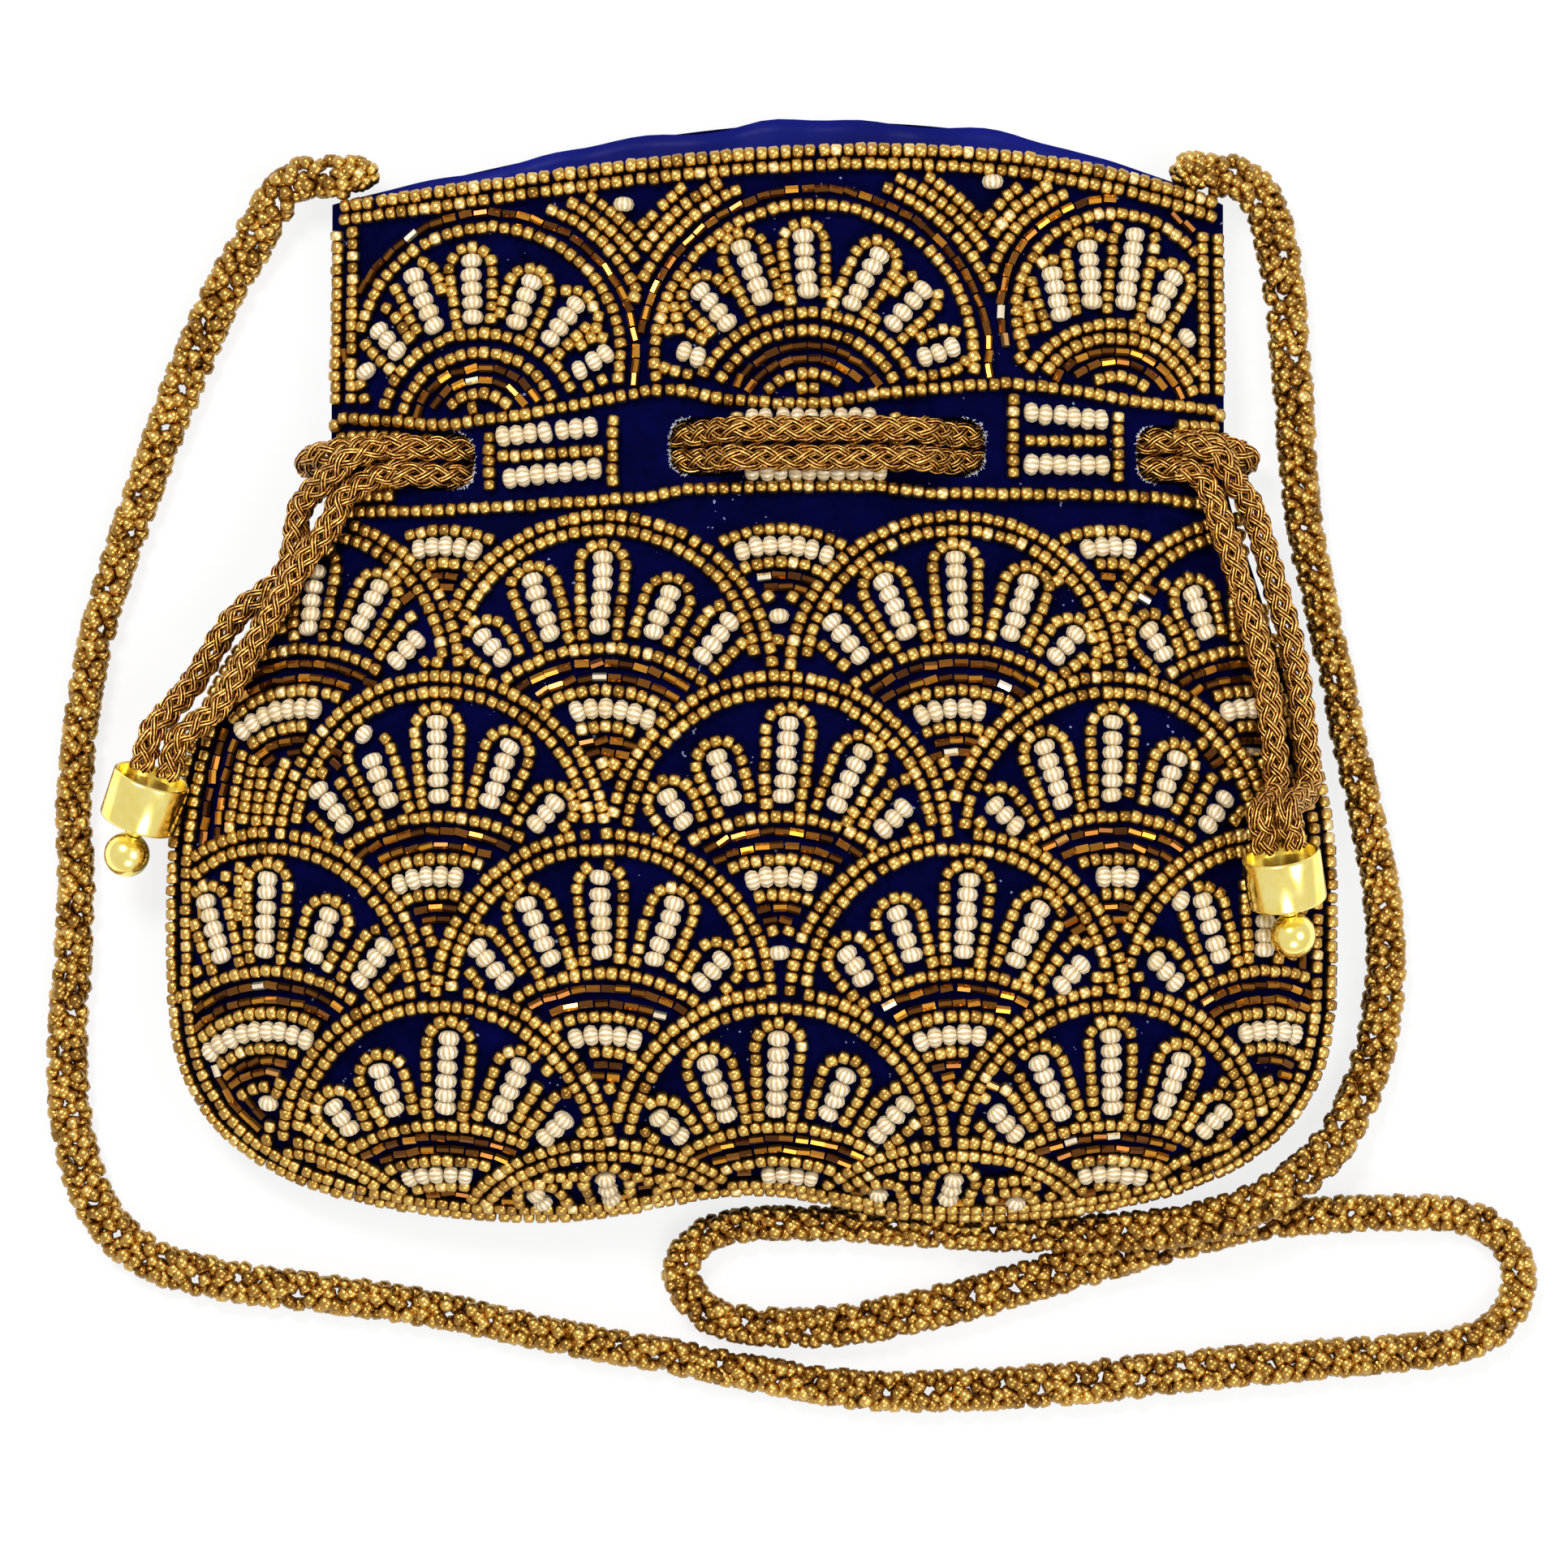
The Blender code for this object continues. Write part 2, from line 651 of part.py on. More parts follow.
def smooth_line(points, spacing):
    """Points at even spacing on a Catmull-Rom curve through the route's own points."""
    route = [Vector(p) for p in points]
    route = [2 * route[0] - route[1], *route, 2 * route[-1] - route[-2]]
    fine = []
    for a, b, c, d in zip(route, route[1:], route[2:], route[3:]):
        for k in range(24):
            t = k / 24
            pull = (c - a) * t + (2 * a - 5 * b + 4 * c - d) * t * t + (3 * b - a - 3 * c + d) * t**3
            fine.append(b + pull / 2)
    fine.append(route[-2])
    length = sum((q - p).length for p, q in zip(fine, fine[1:]))
    count = max(2, round(length / spacing))
    line = [fine[0]]
    walked = 0.0
    for p, q in zip(fine, fine[1:]):
        step = (q - p).length
        while len(line) < count and walked + step >= length * len(line) / count:
            share = (length * len(line) / count - walked) / step
            line.append(p.lerp(q, share))
        walked += step
    line.append(fine[-1])
    return line


def tube(name, points, diameter, finish, spacing=2.5):
    curve = bpy.data.curves.new(name, "CURVE")
    curve.dimensions = "3D"
    curve.bevel_depth = diameter / 2
    curve.bevel_resolution = 2
    curve.use_fill_caps = True
    line = smooth_line(points, spacing * diameter)
    spline = curve.splines.new("POLY")
    spline.points.add(len(line) - 1)
    for point, where in zip(spline.points, line):
        point.co = (*where, 1.0)
    curve.materials.append(finish)
    obj = bpy.data.objects.new(name, curve)
    bpy.context.scene.collection.objects.link(obj)
    return obj


def mm(*points):
    return [Vector(p) * MM for p in points]


STRAP_ROUTE = mm(
    (-80.7, 93.2, 8.5), (-86.5, 92.2, 7.8), (-91.8, 87.0, 6.0), (-96.0, 79.5, 4.4), (-102.0, 69.0, 3.9),
    (-108.5, 54.0, 3.9), (-114.5, 38.0, 3.9), (-119.5, 24.0, 3.9), (-124.5, 8.0, 3.9), (-128.0, -10.0, 3.9),
    (-129.5, -28.0, 3.9), (-129.0, -42.0, 3.9), (-129.8, -58.0, 3.9), (-130.8, -76.0, 3.9), (-128.8, -93.0, 3.9),
    (-123.0, -106.5, 3.9), (-112.0, -114.5, 3.9), (-96.0, -118.0, 3.9), (-78.0, -120.3, 3.9), (-60.0, -123.0, 3.9),
    (-38.0, -127.8, 3.9), (-15.0, -132.0, 3.9), (5.0, -136.0, 3.9), (25.0, -138.5, 3.9), (55.0, -137.5, 3.9),
    (85.0, -134.5, 3.9), (108.0, -132.5, 3.9), (123.0, -131.3, 3.9), (134.0, -129.8, 3.9), (143.0, -125.5, 3.9),
    (146.4, -117.0, 3.9), (142.6, -108.6, 3.9), (133.5, -104.8, 3.9), (116.0, -104.6, 4.0), (97.0, -106.0, 4.0),
    (78.0, -110.5, 3.9), (58.0, -116.0, 3.9), (38.0, -121.8, 3.9), (18.0, -125.8, 3.9), (2.0, -126.2, 3.9),
    (-8.5, -123.6, 3.9), (-13.6, -116.2, 3.9), (-9.6, -109.2, 3.9), (0.0, -106.6, 3.9), (16.0, -106.6, 3.9),
    (40.0, -108.0, 4.4), (62.0, -108.2, 6.6), (80.0, -106.8, 10.4), (92.0, -103.6, 12.0), (103.0, -98.0, 10.6),
    (111.5, -90.0, 6.4), (117.5, -78.0, 3.9), (120.6, -63.0, 3.9), (120.6, -47.0, 3.9), (118.0, -32.0, 3.9),
    (114.6, -17.0, 3.9), (111.6, -2.0, 3.9), (108.0, 14.0, 3.9), (104.8, 32.0, 3.9), (103.0, 56.0, 3.9),
    (101.2, 74.0, 4.2), (99.0, 84.0, 5.6), (95.2, 91.0, 7.6), (90.6, 93.4, 8.5),
)


def strap():
    tube("shoulder_strap", STRAP_ROUTE, STRAP, seed_beads())


def strap_anchor(name, where):
    """The tight bead cluster that the strap is sewn into."""
    bm = bmesh.new()
    bmesh.ops.create_icosphere(bm, subdivisions=2, radius=1.0)
    bmesh.ops.scale(bm, vec=ANCHOR_SIZE, verts=bm.verts)
    bmesh.ops.translate(bm, vec=where, verts=bm.verts)
    new_object(name, closed_mesh(name, bm), seed_beads())


def revolve(name, profile, where, axis, finish):
    """A turned piece: profile holds (radius, distance along axis), from its start to its end."""
    bm = bmesh.new()
    verts = [bm.verts.new((r, 0.0, h)) for r, h in profile]
    edges = [bm.edges.new(pair) for pair in zip(verts, verts[1:] + verts[:1]) if pair[0] is not pair[1]]
    bmesh.ops.spin(
        bm,
        geom=verts + edges,
        cent=(0, 0, 0),
        axis=(0, 0, 1),
        dvec=(0, 0, 0),
        angle=2 * math.pi,
        steps=TURNED_FACETS,
        use_merge=True,
    )
    bmesh.ops.remove_doubles(bm, verts=bm.verts, dist=1e-6)
    turn = Vector((0, 0, 1)).rotation_difference(axis).to_matrix().to_4x4()
    obj = new_object(name, closed_mesh(name, bm), finish)
    obj.matrix_world = Matrix.Translation(where) @ turn
    return obj


def arc(radius, centre, start, end, steps):
    """Points of a round profile, by the angle from the axis."""
    points = []
    for k in range(steps + 1):
        turn = start + (end - start) * k / steps
        points.append((radius * math.sin(turn), centre - radius * math.cos(turn)))
    return points


def cord_end(side, where, axis):
    """Cap, stem and ball in line along axis. where is the middle of the cap."""
    axis = axis.normalized()
    bevel = CAP_BEVEL
    half = CAP_LONG / 2
    profile = [
        (0.0, -half), (CAP_RADIUS - bevel, -half), (CAP_RADIUS, -half + bevel),
        (CAP_RADIUS, half - bevel), (CAP_RADIUS - bevel, half), (0.0, half),
    ]
    revolve(f"{side}_end_cap", profile, where, axis, polished_gold())
    foot = half + GAP
    ball_low = foot + STEM_LONG + GAP
    ball_middle = ball_low + math.sqrt(BALL_RADIUS**2 - STEM_RADIUS**2)
    entry = math.asin(BORE_RADIUS / BALL_RADIUS)
    out = math.pi - math.asin(HEAD_SEAT / BALL_RADIUS)
    ball = arc(BALL_RADIUS, ball_middle, entry, out, 8)
    seat = ball[-1][1] - HEAD_DEEP
    ball += [(HEAD_SEAT, seat), (BORE_RADIUS, seat)]
    revolve(f"{side}_end_ball", ball, where, axis, polished_gold())
    pin_end = seat + GAP
    stem = [
        (0.0, foot), (STEM_RADIUS, foot), (STEM_RADIUS, foot + STEM_LONG), (PIN_RADIUS, foot + STEM_LONG),
        (PIN_RADIUS, pin_end), (HEAD_RADIUS, pin_end), (HEAD_RADIUS, pin_end + HEAD_LONG), (0.0, pin_end + HEAD_LONG),
    ]
    revolve(f"{side}_end_stem", stem, where, axis, polished_gold())


def right_cap_pose():
    """The right cap lies on the front: its middle and the way to its ball."""
    middle = on_front(*RIGHT_CAP_XY, CAP_RADIUS + MELON_HIGH + 2 * GAP)
    ball = on_front(*RIGHT_BALL_XY, CAP_RADIUS + BEAD_HIGH - 1.5 * MM)
    axis = (ball - middle).normalized()
    return middle, axis


def over(x, y, lift):
    """A cord point lift above the velvet, in millimetres."""
    return on_front(x * MM, y * MM, lift * MM)


def tails():
    """Two strands from the side of the neck to each cap."""
    above = (CORD / 2 + MELON_HIGH + GAP) / MM
    spread = CORD_PAIR / 2
    for side, middle, axis, route in (
        ("left", LEFT_CAP, LEFT_AXIS.normalized(), LEFT_TAIL),
        ("right", *right_cap_pose(), RIGHT_TAIL),
    ):
        seat = middle - axis * (CAP_LONG / 2 + 3 * GAP)
        lead = seat - axis * 4 * MM
        across = axis.cross(Vector((0, 0, 1))).normalized()
        for number, hand in ((1, -1), (2, 1)):
            points = []
            for k, (x, y, apart) in enumerate(route):
                before = route[max(k - 1, 0)]
                after = route[min(k + 1, len(route) - 1)]
                run = Vector((after[0] - before[0], after[1] - before[1])).normalized()
                offset = hand * apart * spread / MM
                points.append(over(x - run.y * offset, y + run.x * offset, above))
            side_step = across * (-hand) * (CORD / 2 + GAP / 2)
            points += [lead - axis * 4 * MM + side_step, lead + side_step, seat + side_step]
            tube(f"{side}_tail_{number}", points, CORD, braid(), 1.6)


LEFT_TAIL = (
    (-78.8, 27.0, 1.08), (-85.6, 16.0, 1.08), (-92.0, 5.0, 1.1), (-99.0, -7.0, 1.1),
)
RIGHT_TAIL = (
    (88.2, 27.0, 1.08), (92.0, 14.0, 1.08), (95.5, 1.0, 1.1), (97.6, -12.0, 1.1), (98.6, -24.0, 1.1),
)


def in_tunnel(x, y):
    """A point on a cord's line in the tunnel behind the front panel."""
    return on_front(x, y, -WALL - CORD / 2 - 1.5 * GAP)


def draw_cords():
    """Each cord shows at the left, in the middle and at the right, and runs behind the panel between the slots."""
    outside = CORD / 2 + 2 * GAP
    over_plaque = CORD / 2 + MELON_HIGH + GAP
    level = -WALL / 2
    for name, hand in (("draw_cord_upper", 1), ("draw_cord_lower", -1)):
        offset = hand * CORD_PAIR / 2
        left, right = SLOT_Y[0] + offset, SLOT_Y[3] + offset
        middle = CORD_Y + offset
        ends = SLOT_ENDS
        points = [
            on_front(ends[0] - 20 * MM, left, outside),
            on_front(ends[0] - 13.5 * MM, left, outside),
            on_front(ends[0] - 7 * MM, left, level),
            in_tunnel(ends[0] - 0.5 * MM, left),
            in_tunnel(ends[0] + 4 * MM, left),
            in_tunnel((ends[0] + ends[1]) / 2, middle * 0.7 + left * 0.3),
            in_tunnel(ends[1] - 4 * MM, middle),
            in_tunnel(ends[1] + 0.5 * MM, middle),
            on_front(ends[1] + 7 * MM, middle, level),
            on_front(ends[1] + 12.5 * MM, middle, over_plaque - 0.6 * MM),
            on_front(ends[1] + 20 * MM, middle, over_plaque),
            on_front((ends[1] + ends[2]) / 2, middle, over_plaque),
            on_front(ends[2] - 20 * MM, middle, over_plaque),
            on_front(ends[2] - 12.5 * MM, middle, over_plaque - 0.6 * MM),
            on_front(ends[2] - 7 * MM, middle, level),
            in_tunnel(ends[2] + 0.5 * MM, middle),
            in_tunnel(ends[2] + 4 * MM, middle),
            in_tunnel(ends[3] - 4 * MM, right),
            in_tunnel(ends[3] + 0.5 * MM, right),
            on_front(ends[3] + 6.5 * MM, right, level + 0.5 * MM),
            on_front(ends[3] + 12 * MM, right, outside + 0.5 * MM),
        ]
        tube(name, points, CORD, braid(), 1.0)


def build():
    clear_scene()
    outline_prism("outline_prism", BEAD_EDGE)
    outline_prism("top_prism", BEAD_EDGE + DOUBLE_ROW + GAP)
    front_panel()
    back_panel()
    lining()
    mouth_edging()
    side_rows()
    top_fans()
    spandrels()
    band()
    plaques()
    half_scales()
    scale_rows()
    draw_cords()
    tails()
    strap()
    strap_anchor("strap_anchor_left", LEFT_ANCHOR)
    strap_anchor("strap_anchor_right", RIGHT_ANCHOR)
    cord_end("left", LEFT_CAP, LEFT_AXIS)
    cord_end("right", *right_cap_pose())


build()
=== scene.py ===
"""The looks of a beaded velvet drawstring pouch that lies on its back.

Lengths are millimetres until a mesh is made. A place on the front is (u, v), measured along the velvet
from the middle of the front, as the cloth was embroidered flat before it was sewn up.
"""

import math
import random

import bmesh
import bpy
import numpy as np
from mathutils import Matrix, Vector

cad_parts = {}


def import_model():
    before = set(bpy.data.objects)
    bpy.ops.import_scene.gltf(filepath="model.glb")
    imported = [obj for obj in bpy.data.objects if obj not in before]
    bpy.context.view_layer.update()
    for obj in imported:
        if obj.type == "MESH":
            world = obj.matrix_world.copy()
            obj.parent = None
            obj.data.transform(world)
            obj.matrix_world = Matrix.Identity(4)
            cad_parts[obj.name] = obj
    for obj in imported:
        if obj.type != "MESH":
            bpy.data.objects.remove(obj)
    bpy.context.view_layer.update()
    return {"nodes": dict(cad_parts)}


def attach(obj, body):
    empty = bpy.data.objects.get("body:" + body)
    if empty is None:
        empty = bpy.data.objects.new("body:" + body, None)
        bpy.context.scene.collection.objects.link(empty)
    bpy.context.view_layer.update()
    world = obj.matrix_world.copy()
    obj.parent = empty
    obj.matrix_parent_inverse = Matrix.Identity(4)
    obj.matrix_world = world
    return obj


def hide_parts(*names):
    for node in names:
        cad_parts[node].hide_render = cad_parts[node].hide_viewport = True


MM = 0.001
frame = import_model()
dice = random.Random(7)

# The pouch's outline and thickness, as in the solids
BELLY_HALF, NECK_HALF, NECK_LEAN = 110.0, 84.7, 4.9
BELLY_Y, NECK_Y = -50.0, 40.0
LEAN_START, LEAN_END = -10.0, 26.0
SHOULDER_POWER, CORNER_POWER = 1.4, 3.5
BOTTOM_DEPTH, BOTTOM_NOTCH, NOTCH_HALF = 54.8, 6.0, 24.0
MOUTH_CORNER_Y, MOUTH_RISE, MOUTH_PEAK, MOUTH_Y = 87.5, 4.5, 6.0, 88.0
BACK_RISE = 6.5
BELLY_THICK, NECK_THICK, MOUTH_THICK = 36.0, 25.0, 17.0
SEAM_HEIGHT, MOUTH_SEAM_HEIGHT = 8.5, 6.5
FRONT_ROUND, FRONT_FALL, BACK_ROUND, BACK_FLAT = 2.4, 0.75, 3.0, 1.45
WALL, LINING_GAP, GAP = 2.0, 0.5, 0.3
VELVET_THICK, SATIN_THICK = 1.2, 0.4

# How finely the front is laid flat, and the column along which v is measured
CLOTH_REACH, CLOTH_ACROSS, CLOTH_COLUMN = 106.0, 600, 40.0

# Cords and the slots that they run through
CORD, CORD_PAIR, CORD_Y = 4.9, 5.2, 40.6
CHANNEL, CHANNEL_HALF, CHANNEL_END, CHANNEL_FADE = 7.3, 9.0, 0.94, 0.10
SLOT_ENDS = (-52.0, -15.5, 44.0, 72.5)
SLOT_LONG = (-14.0, 14.0, -14.0, 12.0)
SLOT_Y = (38.2, 40.6, 40.6, 39.6)
SLOT_TALL = (CORD_PAIR + CORD) / 2 + 2 * GAP
SLOT_ROUND = 0.6
BRAID_TURN, BRAID_STRANDS, STRAND, BRAID_WEAVE = 18.0, 8, 0.76, 0.30

# Cord ends
CAP_RADIUS, CAP_LONG, CAP_LIP, CAP_BEVEL, CAP_CUP = 7.4, 9.7, 0.9, 0.7, 2.4
STEM_RADIUS, STEM_LONG = 1.7, 2.0
PIN_RADIUS, BORE_RADIUS, BALL_RADIUS = 0.8, 1.2, 4.3
HEAD_RADIUS, HEAD_SEAT, HEAD_DEEP, HEAD_LONG = 1.5, 1.9, 1.4, 0.8
LEFT_CAP = Vector((-114.6, -25.6, 15.8))
LEFT_AXIS = Vector((-0.36, -1.0, -0.30)).normalized()
RIGHT_CAP_XY, RIGHT_BALL_XY = (94.6, -40.3), (97.6, -52.6)

# Beads: half of each profile as (along, radius), and how they sit on the velvet
SEED_PROFILE = [(0.72, 1.27), (1.09, 0.80), (1.0, 0.0)]
MELON_PROFILE = [(0.0, 2.08), (0.92, 1.72), (1.33, 0.9), (1.25, 0.0)]
MELON_FLUTES, FLUTE_SHARE, FLUTE_FROM, MELON_SQUAT = 10, 0.87, 0.5, 0.84
BUGLE_RADIUS, BUGLE_LONG = 0.78, 2.56
ROW_PITCH, MELON_HIGH, BEAD_HIGH = 2.9, 3.0, 2.6
MELON_PITCH = 2.64
PITCH = {"seed": 2.22, "melon": MELON_PITCH, "bugle": 2.72}
LIFT = {"seed": 1.25, "melon": 1.75, "bugle": 1.15}
REACH = {"seed": 0.95, "melon": 1.6, "bugle": 0.95}
RIM = {"seed": 0.994, "melon": 0.94, "bugle": 0.965}
# How much single beads of a kind differ in length and in width
BEAD_SIZES = {
    "seed": ((0.90, 1.06), (0.94, 1.10)),
    "melon": ((0.95, 1.05), (0.95, 1.04)),
    "bugle": ((0.90, 1.05), (0.92, 1.05)),
}
BEAD_WOBBLE, BEAD_WANDER, LIFT_WANDER = 0.09, 0.07, 0.06
SLACK, WIDE_GAP, WIDE_GAP_FROM = 0.04, 0.5, 0.97
# How far bead tones spread, and above which chance a bugle bead gets a painted glint
TONE_SPREAD, BUGLE_GLINT_FROM = 0.2, 0.96

# How finely a row's path is drawn, and the cells in which the laid beads are looked up
PATH_STEP, RADIAN, CELL = 0.5, 57.3, 4

# The pattern's places, as in the solids
SCALE_RADIUS = 31.3
ROW_Y = (27.2, -2.8, -31.8, -61.0, -88.9)
WIDE_ROW_X = (-90.0, -27.4, 38.4, 96.0)
NARROW_ROW_X = (-57.6, 5.2, 67.0)
BAND_TOP = (
    (-79.0, 46.8), (-58.6, 44.9), (-44.6, 46.3), (-31.6, 48.4), (-18.8, 50.9), (-12.4, 50.9), (-6.0, 49.3),
    (3.8, 48.5), (13.6, 48.5), (23.4, 50.2), (42.7, 52.0), (47.5, 52.4), (60.3, 51.2), (73.1, 49.2),
    (88.5, 48.1),
)
BAND_LOW = (
    (-84.0, 28.5), (-57.4, 28.5), (-38.0, 29.6), (-18.8, 30.8), (-12.4, 32.2), (6.9, 32.9), (23.4, 32.8),
    (33.1, 31.5), (47.5, 31.6), (73.1, 31.3), (93.0, 29.4),
)

# The scales: each arc of beads about a scale's tip, and the petals in three settings
SCALE_ARCS = (
    (31.4, "seed"), (28.7, "bugle"), (26.0, "bugle"), (23.6, "seed"), (20.3, "melon"),
    (17.0, "seed"), (14.5, "bugle"), (12.3, "bugle"), (9.6, "seed"),
)
SCALE_DROP = 57.3
TIP_REACH = 11.2
TIP_MELON = 6.4
PETAL_FOOT, PETAL_HALF, TOP_PETAL_HALF = 3.2, 4.3, 4.1
HOOP_FOOT, HOOP_SHOULDER, MELON_LIGHT, HALF_SCALE_REACH = -1.4, 2.4, 0.1, 24.0
SCALE_PETALS = (
    (
        (1.3, 34.0, 4, 6), (-14.0, 34.6, -20, 4), (17.0, 34.0, 26, 5), (-30.0, 34.0, -33, 3),
        (33.0, 33.6, 44, 4),
    ),
    (
        (0.0, 34.0, -2, 6), (-15.5, 34.3, -24, 5), (15.5, 34.2, 20, 5), (-31.0, 33.8, -40, 4),
        (31.0, 33.8, 42, 3),
    ),
    (
        (-1.0, 34.0, 2, 6), (-16.0, 34.2, -19, 5), (15.0, 34.4, 22, 4), (-32.0, 33.8, -44, 3),
        (31.5, 33.8, 38, 4),
    ),
)

# The top panel: each fan's tip, its arch's middle and radius, and the radii of its rows of seed beads,
# of bugle beads and of the seed beads in its core
TOP_FANS = {
    "left": ((-51.0, 42.9), (-49.6, 57.6), 28.2, (19.4, 15.6), (12.8, 10.4), (7.8, 5.2)),
    "middle": ((10.5, 44.0), (11.8, 57.3), 32.8, (21.9, 18.5), (15.6, 13.1), (10.2, 7.4)),
    "right": ((68.1, 44.7), (68.6, 66.3), 22.1, (19.6, 16.8), (14.4, 12.2), (9.4, 6.8)),
}
# The middle of each petal's lowest melon bead, its tilt in degrees and its number of melon beads
TOP_PETALS = {
    "left": (
        (-52.2, 65.2, -3, 5), (-59.5, 63.5, -22, 5), (-43.9, 64.0, 19, 4), (-66.5, 58.9, -40, 4),
        (-37.7, 60.8, 36.5, 4), (-32.1, 54.7, 58, 3), (-71.0, 52.9, -31, 2),
    ),
    "middle": (
        (10.5, 69.6, -4, 5), (2.1, 68.4, -22, 5), (18.8, 67.3, 28.5, 5), (-4.6, 63.5, -38, 4),
        (26.6, 63.5, 39.6, 4), (-10.1, 57.1, -70, 3), (32.4, 57.1, 71, 3),
    ),
    "right": (
        (70.2, 68.0, 8, 6), (63.8, 68.1, -4, 5), (75.9, 65.8, 25, 4), (58.0, 65.5, -12, 4),
        (79.8, 59.7, 46, 4), (54.8, 58.8, -56, 2), (84.0, 54.2, 60, 1),
    ),
}
# Between the fans: the fans on both sides and the single melon bead's place
WEDGES = {
    "spandrel_left": ("left", "middle", (-24.1, 86.6)),
    "spandrel_right": ("middle", "right", (45.2, 91.0)),
}
WEDGE_PITCH = ROW_PITCH - 0.1
MOUTH_ROWS, SIDE_ROW = (0.7, 3.4), 1.7
CHECKERS = (
    ("band_row_upper", -79.0, -66.5, 40.6, 46.2), ("band_row_lower", -77.0, -66.0, 31.6, 34.6),
    ("band_row_upper", 78.6, 88.0, 42.6, 47.4),
)
CHECKER_PITCH, CHECKER_STEP = 2.35, 1.2
PLAQUES = {
    "left": (
        ((-49.0, 43.6), (-49.0, 31.8), "seed"), ((-25.8, 46.4), (-25.8, 32.4), "seed"),
        ((-47.6, 42.4), (-27.2, 44.4), "melon"), ((-47.4, 38.8), (-27.4, 39.9), "seed"),
        ((-46.4, 34.4), (-27.2, 36.6), "melon"),
    ),
    "right": (
        ((48.9, 50.4), (48.9, 33.8), "seed"), ((68.6, 47.4), (68.6, 33.6), "seed"),
        ((50.9, 47.0), (67.4, 45.6), "melon"), ((50.9, 41.8), (67.4, 41.8), "seed"),
        ((50.9, 37.2), (67.4, 37.2), "melon"),
    ),
    "middle": (
        ((-2.8, 47.0), (-2.8, 34.6), "seed"), ((26.8, 47.0), (26.8, 34.8), "seed"),
        ((-1.2, 45.6), (25.6, 45.6), "melon"), ((-1.2, 35.7), (25.6, 35.7), "melon"),
    ),
}
RIM_MIDDLE_Y = -18.0
EDGE_ROWS = ((0.990, "seed"), (0.964, "seed"))
FILL_ROWS = ((0.940, "bugle"), (0.916, "bugle"), (0.893, "seed"), (0.870, "seed"), (0.847, "seed"))

# How the satin's edge waves, and how many loose threads show at each slot
SATIN_WAVE = 0.09
SLOT_THREADS = 90


def smoothstep(t):
    t = np.clip(t, 0.0, 1.0)
    return t * t * (3.0 - 2.0 * t)


# The pouch's surface

def half_width(y):
    share = np.clip((y - BELLY_Y) / (NECK_Y - BELLY_Y), 0.0, 1.0) ** SHOULDER_POWER
    return NECK_HALF + (BELLY_HALF - NECK_HALF) * (0.5 + 0.5 * np.cos(np.pi * share))


def lean(y):
    return NECK_LEAN * smoothstep((y - LEAN_START) / (LEAN_END - LEAN_START))


def bottom_depth(x):
    return BOTTOM_DEPTH - BOTTOM_NOTCH * np.exp(-((x / NOTCH_HALF) ** 2))


def mouth_edge(x, rise=0.0):
    """The mouth's edge: a low arch with a peak right of its middle. Both bumps are 1 at their tops."""
    share = np.clip((x - NECK_LEAN + NECK_HALF) / (2.0 * NECK_HALF), 0.0, 1.0)
    arch = MOUTH_RISE * 4.0 * share * (1.0 - share)
    peak = MOUTH_PEAK * 6.75 * share * share * (1.0 - share)
    return MOUTH_CORNER_Y + arch + peak + rise * np.sin(np.pi * share) ** 0.8


def from_middle(x, y, inset=0.0):
    across = np.abs(x - lean(y)) / (half_width(y) - inset)
    down = np.clip((BELLY_Y - y) / (bottom_depth(x) - inset), 0.0, None)
    return (across**CORNER_POWER + down**CORNER_POWER) ** (1.0 / CORNER_POWER)


def thickness(y):
    neck = smoothstep((y - BELLY_Y * 0.2) / (NECK_Y - BELLY_Y * 0.2))
    mouth = smoothstep((y - NECK_Y) / (MOUTH_Y - NECK_Y))
    return BELLY_THICK + (NECK_THICK - BELLY_THICK) * neck + (MOUTH_THICK - NECK_THICK) * mouth


def seam_height(y):
    return SEAM_HEIGHT + (MOUTH_SEAM_HEIGHT - SEAM_HEIGHT) * smoothstep((y - NECK_Y) / (MOUTH_Y - NECK_Y))


def front_height(x, y, inset=0.0):
    fall = np.clip(1.0 - from_middle(x, y, inset) ** FRONT_ROUND, 0.0, 1.0) ** FRONT_FALL
    return seam_height(y) + (thickness(y) - seam_height(y) - inset) * fall


def back_height(x, y, inset=0.0):
    full = BACK_FLAT * (1.0 - np.clip(from_middle(x, y, inset), 0.0, 1.0) ** BACK_ROUND)
    return inset + (seam_height(y) - inset) * (1.0 - smoothstep(full))


def front_normal(x, y):
    step = 0.2
    slope_x = (front_height(x + step, y) - front_height(x - step, y)) / (2 * step)
    slope_y = (front_height(x, y + step) - front_height(x, y - step)) / (2 * step)
    return Vector((-slope_x, -slope_y, 1.0)).normalized()


def on_front(x, y, lift=0.0):
    return Vector((x, y, float(front_height(x, y)))) + front_normal(x, y) * lift


def distances(steps):
    """How far along a line each of its points is, from the lengths of its steps."""
    return np.concatenate(([0.0], np.cumsum(steps)))


